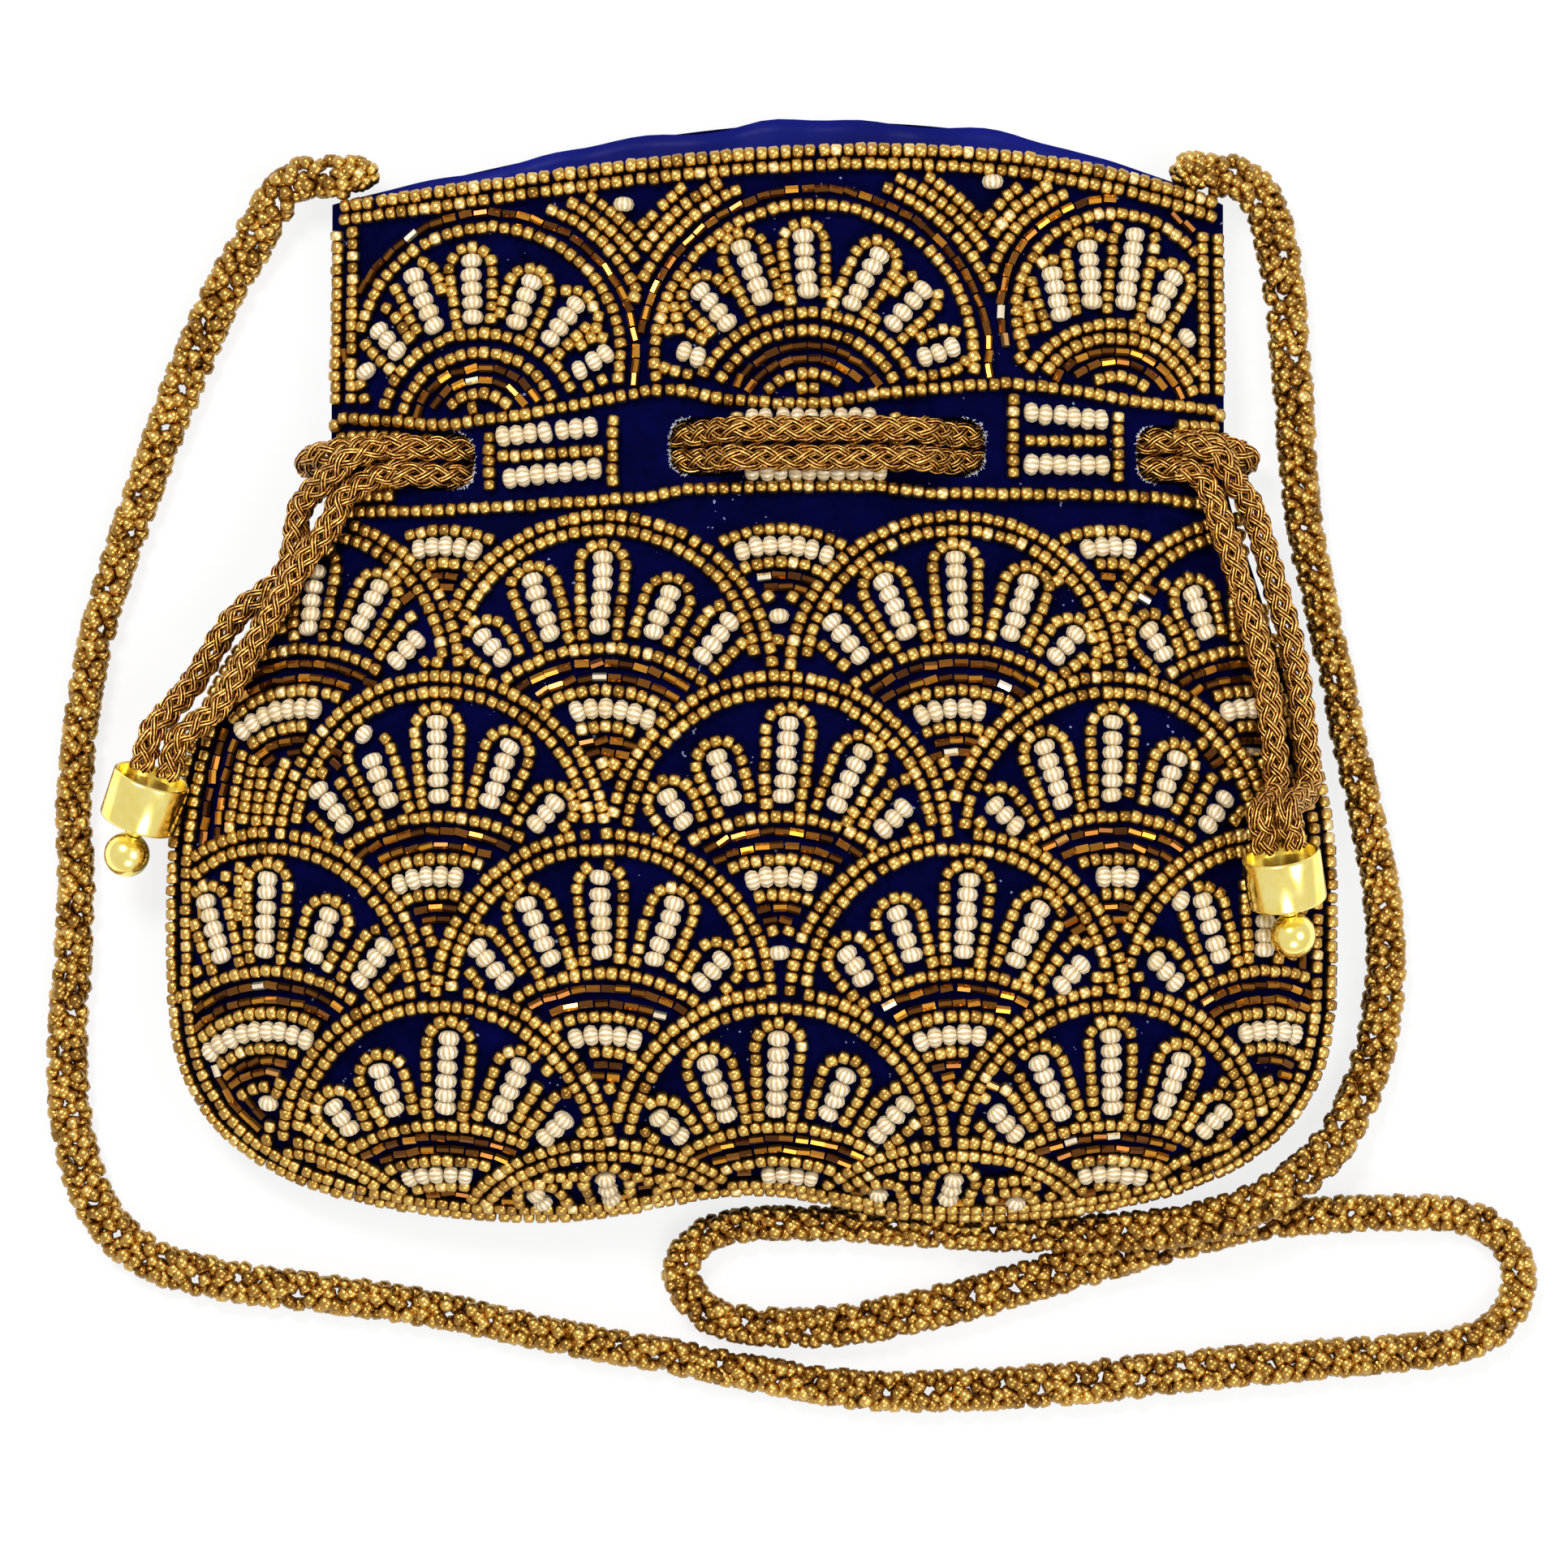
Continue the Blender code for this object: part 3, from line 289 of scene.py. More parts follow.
class Cloth:
    """The front laid flat: how far each place is from the middle line and from y = 0, along the velvet."""

    def __init__(self):
        self.levels = np.arange(-CLOTH_REACH, CLOTH_REACH + 0.1)
        share = np.linspace(-1.0, 1.0, CLOTH_ACROSS + 1)
        self.x = []
        self.u = []
        for y in self.levels:
            x = float(lean(y)) + float(half_width(y)) * share
            walked = distances(np.hypot(np.diff(x), np.diff(front_height(x, y))))
            self.x.append(x)
            self.u.append(walked - walked[CLOTH_ACROSS // 2] + float(lean(y)))
        column = front_height(CLOTH_COLUMN, self.levels)
        walked = distances(np.hypot(np.diff(self.levels), np.diff(column)))
        self.v = walked - np.interp(0.0, self.levels, walked)

    def place(self, u, v):
        """(x, y) of a place on the cloth."""
        y = float(np.interp(v, self.v, self.levels))
        k = min(int(y - self.levels[0]), len(self.levels) - 2)
        share = y - self.levels[k]
        low = np.interp(u, self.u[k], self.x[k])
        high = np.interp(u, self.u[k + 1], self.x[k + 1])
        return float(low + (high - low) * share), y

    def flat(self, x, y):
        """(u, v) of a place on the pouch."""
        k = int(round(y - self.levels[0]))
        return np.array((float(np.interp(x, self.x[k], self.u[k])), float(np.interp(y, self.levels, self.v))))


cloth = Cloth()


# Materials

class Number:
    """A number in a material's nodes, which sums and products can use."""

    def __init__(self, finish, socket):
        self.finish = finish
        self.socket = socket

    def _with(self, operation, *values):
        return self.finish.node("ShaderNodeMath", {"operation": operation}, *values).number()

    def __add__(self, other):
        return self._with("ADD", self, other)

    __radd__ = __add__

    def __mul__(self, other):
        return self._with("MULTIPLY", self, other)

    __rmul__ = __mul__

    def wave(self):
        return self._with("SINE", self)

    def over(self, other):
        return self._with("GREATER_THAN", self, other)


class Step:
    """A node that has been set up. number and out give its outputs."""

    def __init__(self, finish, node):
        self.finish = finish
        self.node = node

    def number(self, output=0):
        return Number(self.finish, self.node.outputs[output])

    def out(self, output=0):
        return self.node.outputs[output]


class Nodes:
    """The nodes of a material or of the world."""

    def __init__(self, tree):
        self.tree = tree

    def node(self, kind, settings=None, *values, **named):
        node = self.tree.nodes.new(kind)
        for key, value in (settings or {}).items():
            if key == "stops":
                for k, (place, colour) in enumerate(value):
                    stop = node.color_ramp.elements[k] if k < 2 else node.color_ramp.elements.new(place)
                    stop.position = place
                    stop.color = (*colour, 1.0)
            else:
                setattr(node, key, value)
        for key, value in [*enumerate(values), *named.items()]:
            self.join(value, node.inputs[key if isinstance(key, int) else key.replace("_", " ")])
        return Step(self, node)

    def join(self, value, socket):
        if isinstance(value, Number):
            self.tree.links.new(value.socket, socket)
        elif isinstance(value, bpy.types.NodeSocket):
            self.tree.links.new(value, socket)
        else:
            socket.default_value = value

    def show(self, share, first, second, output):
        """Shows a mix of two shaders."""
        mixed = self.node("ShaderNodeMixShader", None, share, first, second).out()
        self.join(mixed, self.tree.nodes[output].inputs["Surface"])


class Finish(Nodes):
    """A material of one shader with whatever feeds it."""

    def __init__(self, name, **values):
        self.material = bpy.data.materials.new(name)
        self.material.use_nodes = True
        super().__init__(self.material.node_tree)
        self.shader = self.tree.nodes["Principled BSDF"]
        for key, value in values.items():
            socket = self.shader.inputs[key.replace("_", " ")]
            socket.default_value = (*value, 1.0) if isinstance(value, tuple) else value

    def feed(self, name, value):
        self.join(value, self.shader.inputs[name])

    def place(self):
        return self.node("ShaderNodeTexCoord").out("Object")

    def noise(self, scale, detail=2.0):
        made = self.node("ShaderNodeTexNoise", None, Vector=self.place(), Scale=scale, Detail=detail)
        return made.number("Fac")

    def ramp(self, number, *stops):
        return self.node("ShaderNodeValToRGB", {"stops": stops}, number).out("Color")

    def blend(self, share, first, second):
        node = self.tree.nodes.new("ShaderNodeMix")
        node.data_type = "RGBA"
        for name, value in (("Factor_Float", share), ("A_Color", first), ("B_Color", second)):
            socket = next(s for s in node.inputs if s.identifier == name)
            self.join((*value, 1.0) if isinstance(value, tuple) else value, socket)
        return next(s for s in node.outputs if s.identifier == "Result_Color")

    def bump(self, height, strength, distance):
        made = self.node("ShaderNodeBump", None, Strength=strength, Distance=distance * MM, Height=height)
        self.feed("Normal", made.out("Normal"))

    def tone(self, name="tone"):
        return self.node("ShaderNodeAttribute", {"attribute_name": name}).number("Fac")


def velvet():
    """Short dense pile with white lint; its patchy lighter and darker blue is painted sheen of the pile."""
    finish = Finish(
        "velvet",
        Roughness=0.85,
        Specular_IOR_Level=0.015,
        Sheen_Weight=0.03,
        Sheen_Roughness=0.4,
        Sheen_Tint=(0.02, 0.03, 0.6),
    )
    # Painted sheen: noise lightens and darkens the pile's blue in patches, standing in for light on the pile.
    pile_sheen = finish.noise(90.0, 3.0) * 0.6 + finish.noise(420.0, 2.0) * 0.4
    blue = finish.ramp(pile_sheen, (0.30, (0.0003, 0.0005, 0.011)), (0.70, (0.0011, 0.0015, 0.040)))
    lint = finish.noise(900.0, 1.0).over(0.735) * finish.noise(60.0, 2.0).over(0.53)
    finish.feed("Base Color", finish.blend(lint, blue, (0.20, 0.23, 0.40)))
    finish.bump(finish.noise(1500.0, 2.0), 0.5, 0.25)
    return finish.material


def satin():
    """Bright smooth lining with faint threads, and broad lighter and darker patches of painted shade and
    sheen, as on soft folds.
    """
    finish = Finish("satin", Roughness=0.42, Specular_IOR_Level=0.05)
    threads = finish.noise(700.0, 2.0)
    # Painted shade and sheen: broad noise makes the blue lighter and darker in patches, as light falls on
    # soft folds.
    painted_shading = finish.noise(25.0, 2.0)
    finish.feed("Base Color", finish.ramp(painted_shading, (0.3, (0.003, 0.005, 0.085)), (0.7, (0.008, 0.012, 0.20))))
    finish.feed("Roughness", threads * 0.14 + 0.36)
    finish.bump(threads, 0.25, 0.1)
    return finish.material


def seed_beads():
    """Bronze-gold metallic beads, each a little lighter or darker than the next."""
    finish = Finish("seed_beads", Metallic=1.0, Roughness=0.27)
    tone = finish.tone()
    finish.feed(
        "Base Color",
        finish.ramp(
            tone,
            (0.0, (0.24, 0.12, 0.024)),
            (0.35, (0.47, 0.27, 0.062)),
            (0.75, (0.64, 0.41, 0.11)),
            (1.0, (0.86, 0.66, 0.30)),
        ),
    )
    finish.feed("Roughness", tone * 0.10 + finish.noise(900.0, 1.0) * 0.16 + 0.17)
    return finish.material


def melon_beads():
    """Fluted champagne beads with darker furrows."""
    finish = Finish("melon_beads", Metallic=0.15, Roughness=0.33)
    furrow = finish.tone("furrow")
    tone = finish.tone()
    light = finish.ramp(tone, (0.0, (0.80, 0.70, 0.48)), (1.0, (0.97, 0.92, 0.78)))
    finish.feed("Base Color", finish.blend(furrow, light, (0.50, 0.33, 0.12)))
    finish.feed("Roughness", furrow * 0.25 + 0.27)
    return finish.material


def bugle_beads():
    """Copper-brown cut tubes, each a little lighter or darker; the orange and white end of the colours is a
    painted glint, given to a few of them.
    """
    finish = Finish("bugle_beads", Metallic=0.85, Roughness=0.12)
    tone = finish.tone()
    finish.feed(
        "Base Color",
        finish.ramp(
            tone,
            (0.0, (0.085, 0.027, 0.004)),
            (0.5, (0.26, 0.095, 0.010)),
            # The orange and white stops are painted glints.
            (0.88, (0.62, 0.27, 0.025)),
            (1.0, (0.95, 0.84, 0.60)),
        ),
    )
    finish.feed("Roughness", tone * 0.12 + 0.08)
    return finish.material


# How the fine plies wind round a strand and along the whole of it
PLY_ROUND, PLY_ALONG = 37.0, 160.0


def gold_braid():
    """Metallic thread: fine plies along each strand, with painted shade in the gaps between plies and painted
    highlights and glints on them.
    """
    finish = Finish("gold_braid", Metallic=0.95, Roughness=0.30)
    thread = finish.node("ShaderNodeUVMap", {"uv_map": "UVMap"}).out()
    parts = finish.node("ShaderNodeSeparateXYZ", None, thread)
    plies = (parts.number(1) * PLY_ROUND + parts.number(0) * PLY_ALONG).wave() * 0.5 + 0.5
    # Fine noise: painted glints in the colour, and rough and smooth spots.
    glint_noise = finish.noise(1500.0, 3.0)
    # Painted light: near black between the plies is painted shade, bright gold on them and in the fine noise
    # is painted highlight and glint.
    painted_shading = plies * 0.45 + glint_noise * 0.75
    finish.feed(
        "Base Color",
        finish.ramp(
            painted_shading,
            (0.44, (0.010, 0.0015, 0.0003)),
            (0.62, (0.50, 0.14, 0.008)),
            (0.80, (1.0, 0.66, 0.19)),
        ),
    )
    finish.feed("Roughness", glint_noise * 0.25 + 0.22)
    finish.bump(plies, 0.9, 0.25)
    return finish.material


def polished_gold():
    """Yellow plating with fine scuffs."""
    finish = Finish("polished_gold", Metallic=1.0, Roughness=0.2)
    scuffs = finish.noise(400.0, 4.0)
    finish.feed("Base Color", finish.ramp(scuffs, (0.3, (0.97, 0.77, 0.17)), (0.7, (1.0, 0.86, 0.32))))
    finish.feed("Roughness", scuffs * 0.12 + 0.12)
    return finish.material


def white_thread():
    """The backing's loose white threads."""
    finish = Finish("white_thread", Roughness=0.8)
    fuzz = finish.noise(1500.0, 1.0)
    finish.feed("Base Color", finish.ramp(fuzz, (0.3, (0.45, 0.47, 0.55)), (0.7, (0.80, 0.80, 0.82))))
    return finish.material


MATERIALS = {
    "velvet": velvet(),
    "satin": satin(),
    "seed": seed_beads(),
    "melon": melon_beads(),
    "bugle": bugle_beads(),
    "braid": gold_braid(),
    "gold": polished_gold(),
    "thread": white_thread(),
}


# Pieces

def add_piece(name, mesh, finishes, body="pouch", replaces=(), smooth=True):
    """Puts a mesh in the scene as one named piece of the pouch."""
    obj = bpy.data.objects.new(name, mesh)
    bpy.context.scene.collection.objects.link(obj)
    if mesh.materials:
        mesh.materials.clear()
    for finish in finishes:
        mesh.materials.append(MATERIALS[finish])
    if smooth:
        mesh.shade_smooth()
    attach(obj, body)
    if replaces:
        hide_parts(*replaces)
    return obj


def turned(profile, steps):
    """A closed bmesh turned about X from (along, radius) places, on the axis at both ends or in a ring."""
    bm = bmesh.new()
    verts = [bm.verts.new((h, 0.0, r)) for h, r in profile]
    pairs = list(zip(verts, verts[1:]))
    if profile[0][1] > 0:
        pairs.append((verts[-1], verts[0]))
    edges = [bm.edges.new(pair) for pair in pairs]
    bmesh.ops.spin(
        bm,
        geom=verts + edges,
        cent=(0, 0, 0),
        axis=(1, 0, 0),
        dvec=(0, 0, 0),
        angle=2 * math.pi,
        steps=steps,
        use_merge=True,
    )
    bmesh.ops.remove_doubles(bm, verts=bm.verts, dist=1e-5)
    bmesh.ops.recalc_face_normals(bm, faces=bm.faces)
    return bm


class Bead:
    """One kind of bead, ready to be repeated."""

    def __init__(self, kind, bm, slot, smooth=True, furrow=None):
        for face in bm.faces:
            face.smooth = smooth
            face.material_index = slot
        self.mesh = bpy.data.meshes.new(kind)
        bm.to_mesh(self.mesh)
        bm.free()
        self.count = len(self.mesh.vertices)
        self.base = np.empty(self.count * 3)
        self.mesh.vertices.foreach_get("co", self.base)
        self.base = self.base.reshape(-1, 3)
        self.mesh.attributes.new("tone", "FLOAT", "POINT")
        layer = self.mesh.attributes.new("furrow", "FLOAT", "POINT")
        if furrow is not None:
            layer.data.foreach_set("value", furrow(self.base))

    def lay(self, bm, matrix, tone):
        turn = np.array(matrix)
        self.mesh.vertices.foreach_set("co", (self.base @ turn[:3, :3].T + turn[:3, 3]).ravel())
        self.mesh.attributes["tone"].data.foreach_set("value", [tone] * self.count)
        bm.from_mesh(self.mesh)


def both_ways(half):
    """A whole profile from its right half."""
    return [(-along, radius) for along, radius in half[::-1] if along > 0] + half


def seed_bead():
    return Bead("seed", turned(both_ways(SEED_PROFILE), 8), 0)


def melon_bead():
    bm = turned(both_ways(MELON_PROFILE), 2 * MELON_FLUTES)
    for vert in bm.verts:
        turn = math.atan2(vert.co.y, vert.co.z) * MELON_FLUTES / math.pi
        if round(turn) % 2 and math.hypot(vert.co.y, vert.co.z) > FLUTE_FROM:
            vert.co.y *= FLUTE_SHARE
            vert.co.z *= FLUTE_SHARE

    def furrow(base):
        turn = np.round(np.arctan2(base[:, 1], base[:, 2]) * MELON_FLUTES / math.pi)
        return (turn % 2) * (np.hypot(base[:, 1], base[:, 2]) > FLUTE_FROM)

    return Bead("melon", bm, 1, furrow=furrow)


def bugle_bead():
    bm = bmesh.new()
    size = {"radius1": BUGLE_RADIUS, "radius2": BUGLE_RADIUS, "depth": BUGLE_LONG}
    bmesh.ops.create_cone(bm, cap_ends=True, segments=6, **size)
    bmesh.ops.rotate(bm, cent=(0, 0, 0), matrix=Matrix.Rotation(math.pi / 2, 3, "Y"), verts=bm.verts)
    return Bead("bugle", bm, 2, smooth=False)


BEADS = {"seed": seed_bead(), "melon": melon_bead(), "bugle": bugle_bead()}


def pose(where, along, up):
    """A matrix, in metres, that turns +X to along and +Z nearly to up."""
    along = along.normalized()
    side = up.cross(along).normalized()
    up = along.cross(side)
    turn = Matrix((along, side, up)).transposed()
    return Matrix.Translation(where * MM) @ (turn * MM).to_4x4()


class Beadwork:
    """The beads of one piece."""

    def __init__(self):
        self.bm = bmesh.new()

    def bead(self, kind, where, along, up, tone, grow=1.0):
        wobble = Matrix.Rotation(dice.gauss(0, BEAD_WOBBLE), 3, up)
        long, fat = (dice.uniform(*limits) for limits in BEAD_SIZES[kind])
        spin = Matrix.Rotation(dice.uniform(0, math.tau), 4, "X")
        squat = MELON_SQUAT if kind == "melon" else 1.0
        size = Matrix.Diagonal((long * grow, fat * grow, fat * squat * grow, 1.0))
        BEADS[kind].lay(self.bm, pose(where, wobble @ along, up) @ size @ spin, tone)

    def finish(self, name, replaces):
        mesh = bpy.data.meshes.new(name)
        self.bm.to_mesh(mesh)
        self.bm.free()
        kinds = ("seed", "melon", "bugle")
        return add_piece(name, mesh, kinds, replaces=replaces, smooth=False)


def chance_tone(middle, spread=TONE_SPREAD):
    """How light one bead is, from 0 to 1."""
    return min(1.0, max(0.0, dice.gauss(middle, spread)))


class Embroidery:
    """All the beads on the front. No bead is laid where another already lies."""

    def __init__(self):
        self.pieces = {}
        self.taken = {}

    def piece(self, node):
        if node not in self.pieces:
            self.pieces[node] = Beadwork()
        return self.pieces[node]

    def free(self, u, v, reach, row):
        a, b = int(u // CELL), int(v // CELL)
        for i in (a - 1, a, a + 1):
            for j in (b - 1, b, b + 1):
                for other_u, other_v, other_reach, other_row in self.taken.get((i, j), ()):
                    near = reach + other_reach
                    if other_row != row and (u - other_u) ** 2 + (v - other_v) ** 2 < near * near:
                        return False
        return True

    def row(self, node, path, kind="seed", inside=None, start=0.5, count=None, light=0.0):
        """Strings beads of one kind along path, a list of (u, v)."""
        path = np.array(path, float)
        walked = distances(np.hypot(*np.diff(path, axis=0).T))

        def spot(distance):
            return np.array([np.interp(distance, walked, path[:, n]) for n in (0, 1)])

        work = self.piece(node)
        row = object()
        along = start * PITCH[kind]
        laid = 0
        while along < walked[-1] and (count is None or laid < count):
            u, v = spot(along)
            run = spot(min(along + PATH_STEP, walked[-1])) - spot(max(along - PATH_STEP, 0.0))
            gap = WIDE_GAP if dice.random() > WIDE_GAP_FROM else 0.0
            along += PITCH[kind] * (1.0 + SLACK * dice.random()) + gap
            laid += 1
            if not self.free(u, v, REACH[kind], row):
                continue
            x, y = cloth.place(u, v)
            if from_middle(x, y) > RIM[kind] or (inside and not inside(x, y)):
                continue
            self.taken.setdefault((int(u // CELL), int(v // CELL)), []).append((u, v, REACH[kind], row))
            self.put(work, kind, u, v, run, light)

    def put(self, work, kind, u, v, run, light=0.0):
        u += dice.gauss(0, BEAD_WANDER)
        v += dice.gauss(0, BEAD_WANDER)
        x, y = cloth.place(u, v)
        up = front_normal(x, y)
        length = math.hypot(*run) or 1.0
        x2, y2 = cloth.place(u + run[0] / length, v + run[1] / length)
        where = on_front(x, y, LIFT[kind] + dice.gauss(0, LIFT_WANDER))
        ahead = on_front(x2, y2) - on_front(x, y)
        if kind == "bugle":
            # A few bugle beads get the white end of the colours, a painted glint; the rest differ in tone at
            # random.
            tone = 1.0 if dice.random() > BUGLE_GLINT_FROM else 0.9 * dice.random() ** 1.3
        else:
            tone = chance_tone(0.5 + light)
        work.bead(kind, where, ahead, up, tone)


beads = Embroidery()


def arc_path(centre, radius, start, end):
    """(u, v) places on a circle, by the angle in degrees from straight up."""
    count = max(4, int(abs(end - start) * radius / RADIAN / PATH_STEP))
    turns = np.radians(np.linspace(start, end, count))
    return np.stack((centre[0] + radius * np.sin(turns), centre[1] + radius * np.cos(turns)), axis=1)


def petal(node, base, tilt, melons, half, inside):
    """A row of melon beads in a hoop of seed beads that is narrower at its foot. The hoop is laid second."""
    out = np.array((math.sin(math.radians(tilt)), math.cos(math.radians(tilt))))
    side = np.array((out[1], -out[0]))
    length = melons * MELON_PITCH
    beads.row(node, [base, base + out * (length + 0.1)], "melon", inside, 0.5, melons, MELON_LIGHT)
    yield
    shoulder = max(length - HOOP_SHOULDER, 0.4)
    rise = np.linspace(HOOP_FOOT, shoulder, 30)
    leg = PETAL_FOOT + (half - PETAL_FOOT) * np.clip(rise / shoulder, 0.0, 1.0) ** 0.7
    hoop = [base - side * w + out * h for w, h in zip(leg, rise)]
    turns = np.linspace(0.0, math.pi, 26)
    hoop += [base + out * (shoulder + half * math.sin(t)) - side * half * math.cos(t) for t in turns]
    hoop += [base + side * w + out * h for w, h in zip(leg[::-1], rise[::-1])]
    beads.row(node, hoop, "seed", inside)
    yield


def lay_petals(made):
    """All the melon beads of a fan, and then the hoops round them."""
    for _ in ("melons", "hoops"):
        for one in made:
            next(one)


def petals(node, middle, plan, inside):
    """The petals of a scale. plan holds each one's (angle, distance, tilt, melons) about the middle."""
    made = []
    for angle, distance, tilt, melons in plan:
        turn = math.radians(angle)
        base = np.array(middle) + distance * np.array((math.sin(turn), math.cos(turn)))
        made.append(petal(node, base, tilt, melons, PETAL_HALF, inside))
    lay_petals(made)


def single_melon(node, spot, inside):
    """One melon bead that stands by itself, upright."""
    beads.row(node, [spot - (0.0, 1.4), spot + (0.0, 1.4)], "melon", inside, 0.5, 1, MELON_LIGHT)


def below_band(x, y):
    return y < band_low(x) - 2.3


def above_band(x, y):
    return y > band_top(x) + 2.2 and y < float(mouth_edge(x)) - 5.3


def band_top(x):
    return float(np.interp(x, *zip(*BAND_TOP)))


def band_low(x):
    return float(np.interp(x, *zip(*BAND_LOW)))


def scale_centres():
    """For each row of scales, (u, v) of the middle of each arch's circle."""
    rows = []
    for k, y in enumerate(ROW_Y):
        apexes = NARROW_ROW_X if k % 2 else WIDE_ROW_X
        rows.append([cloth.flat(x, y) - (0.0, SCALE_RADIUS) for x in apexes])
    return rows


def scale_name(row, number):
    return f"scale_fan_{'abcd'[row]}{number + 1}" if row < 4 else f"scallop_e{min(number + 1, 3)}"


def arch_name(row, number):
    return f"scallop_row_{'abcd'[row]}" if row < 4 else f"scallop_e{min(number + 1, 3)}"


def scallops():
    """The belly's five rows of scales."""
    rows = scale_centres()
    for k, centres in enumerate(rows):
        for m, centre in enumerate(centres):
            for radius, limit in ((SCALE_RADIUS, 88), (SCALE_RADIUS - ROW_PITCH, 84)):
                for end, start in ((-limit, 0.45), (limit, 0.5)):
                    path = arc_path(centre, radius, 0.0, end)
                    beads.row(arch_name(k, m), path, "seed", below_band, start)
    for k, centres in enumerate(rows[:-1]):
        for m, centre in enumerate(centres):
            fill_scale(scale_name(k, m), centre, rows[k + 1], SCALE_PETALS[(k + 2 * m) % 3])
    for m, centre in enumerate(rows[-1]):
        fill_scale(scale_name(4, m), centre, [], SCALE_PETALS[m % 3])
    gap = rows[0][1][1] - rows[1][1][1]
    for name, x in zip(("left", "middle", "right"), NARROW_ROW_X):
        centre = cloth.flat(x, ROW_Y[0]) + (0.0, gap - SCALE_RADIUS)
        fill_scale(f"half_scale_{name}", centre, rows[0], ())


def fill_scale(node, centre, below, plan):
    """What lies inside one scale: rows along the arches below it, arcs about its tip and the petals."""
    middle = centre + (0.0, SCALE_RADIUS - SCALE_DROP)
    single_melon(node, middle + (0.0, TIP_MELON), below_band)
    for low in below:
        if abs(low[0] - centre[0]) < 1.3 * SCALE_RADIUS:
            hand = 1 if low[0] < centre[0] else -1
            path = arc_path(low, SCALE_RADIUS + ROW_PITCH, 88 * hand, 20 * hand)
            path = path[np.hypot(*(path - middle).T) < TIP_REACH]
            if len(path) > 3:
                beads.row(node, path, "seed", below_band)
    wide = 40.0 if below else 46.0
    for radius, kind in SCALE_ARCS:
        if plan or radius <= HALF_SCALE_REACH:
            beads.row(node, arc_path(middle, radius, -wide, wide), kind, below_band, dice.uniform(0.3, 0.7))
    petals(node, middle, plan, below_band)


def top_panel():
    """Three wide fans under their arches, and the wedges of rows between them."""
    for side, (_, centre, radius, *_) in TOP_FANS.items():
        middle = cloth.flat(*centre)
        for row_radius, kind in ((radius, "bugle"), (radius - ROW_PITCH, "seed")):
            for end in (-112, 112):
                beads.row(f"top_arch_{side}", arc_path(middle, row_radius, 0.0, end), kind, above_band)
    for node, (left, right, single) in WEDGES.items():
        single_melon(node, cloth.flat(*single), None)
        for number in (1, 2, 3):
            for side, hand in ((left, 1), (right, -1)):
                _, centre, radius, *_ = TOP_FANS[side]
                path = arc_path(cloth.flat(*centre), radius + WEDGE_PITCH * number, 84 * hand, 22 * hand)
                beads.row(node, path, "seed", above_band)
    for side, (tip, _, _, golds, bugles, cores) in TOP_FANS.items():
        node = f"top_fan_{side}"
        middle = cloth.flat(*tip)
        for radii, kind in ((golds, "seed"), (bugles, "bugle"), (cores, "seed")):
            for radius in radii:
                for end in (-80, 80):
                    beads.row(node, arc_path(middle, radius, 0.0, end), kind, above_band, 0.5)
        made = []
        for x, y, tilt, melons in TOP_PETALS[side]:
            out = np.array((math.sin(math.radians(tilt)), math.cos(math.radians(tilt))))
            base = cloth.flat(x, y) - out * MELON_PITCH / 2
            made.append(petal(node, base, tilt, melons, TOP_PETAL_HALF, above_band))
        lay_petals(made)


def line_path(points):
    return [cloth.flat(x, y) for x, y in points]


def edging():
    """The double rows along the mouth and up the sides of the top panel."""
    for inset in MOUTH_ROWS:
        reach = NECK_HALF * 0.975
        xs = np.linspace(NECK_LEAN - reach, NECK_LEAN + reach, 80)
        beads.row("mouth_edging", line_path([(x, float(mouth_edge(x)) - inset) for x in xs]))
    for name, hand in (("side_rows_left", -1), ("side_rows_right", 1)):
        for inset in (SIDE_ROW, SIDE_ROW + ROW_PITCH):
            ys = np.linspace(band_top(hand * 80.0) + 2.4, MOUTH_CORNER_Y - 4.5, 40)
            places = [(float(lean(y)) + hand * (float(half_width(y)) - inset), y) for y in ys]
            beads.row(name, line_path(places))


def band():
    """The two rows that bound the neck band, and the checkered corners between them."""
    for name, height in (("band_row_upper", band_top), ("band_row_lower", band_low)):
        reach = float(half_width(height(NECK_LEAN))) - 2.4
        xs = np.linspace(NECK_LEAN - reach, NECK_LEAN + reach, 120)
        beads.row(name, line_path([(x, height(x)) for x in xs]))
    for node, left, right, low, high in CHECKERS:
        for k, y in enumerate(np.arange(low, high, CHECKER_PITCH)):
            beads.row(node, line_path([(left + (k % 2) * CHECKER_STEP, y), (right, y)]))


def plaques():
    for side, rows in PLAQUES.items():
        for start, end, kind in rows:
            beads.row(f"plaque_{side}", line_path([start, end]), kind)


def rim_rows(levels):
    """Rows along the belly's seam, each at a level between the middle (0) and the seam (1)."""
    for level, kind in levels:
        path = []
        for turn in np.linspace(math.radians(78), math.radians(282), 420):
            reach = np.array((math.sin(turn), math.cos(turn)))
            low, high = 0.0, 150.0
            for _ in range(22):
                half = (low + high) / 2
                x, y = reach[0] * half, RIM_MIDDLE_Y + reach[1] * half
                if float(from_middle(x, y)) < level:
                    low = half
                else:
                    high = half
            path.append(cloth.flat(reach[0] * low, RIM_MIDDLE_Y + reach[1] * low))
        beads.row("rim_rows", path, kind, below_band)


edging()
band()
plaques()
rim_rows(EDGE_ROWS)
scallops()
top_panel()
rim_rows(FILL_ROWS)
for node, work in beads.pieces.items():
    known = (node,) if node in frame["nodes"] else ()
    work.finish(f"{node}_beads", known)


# Cloth

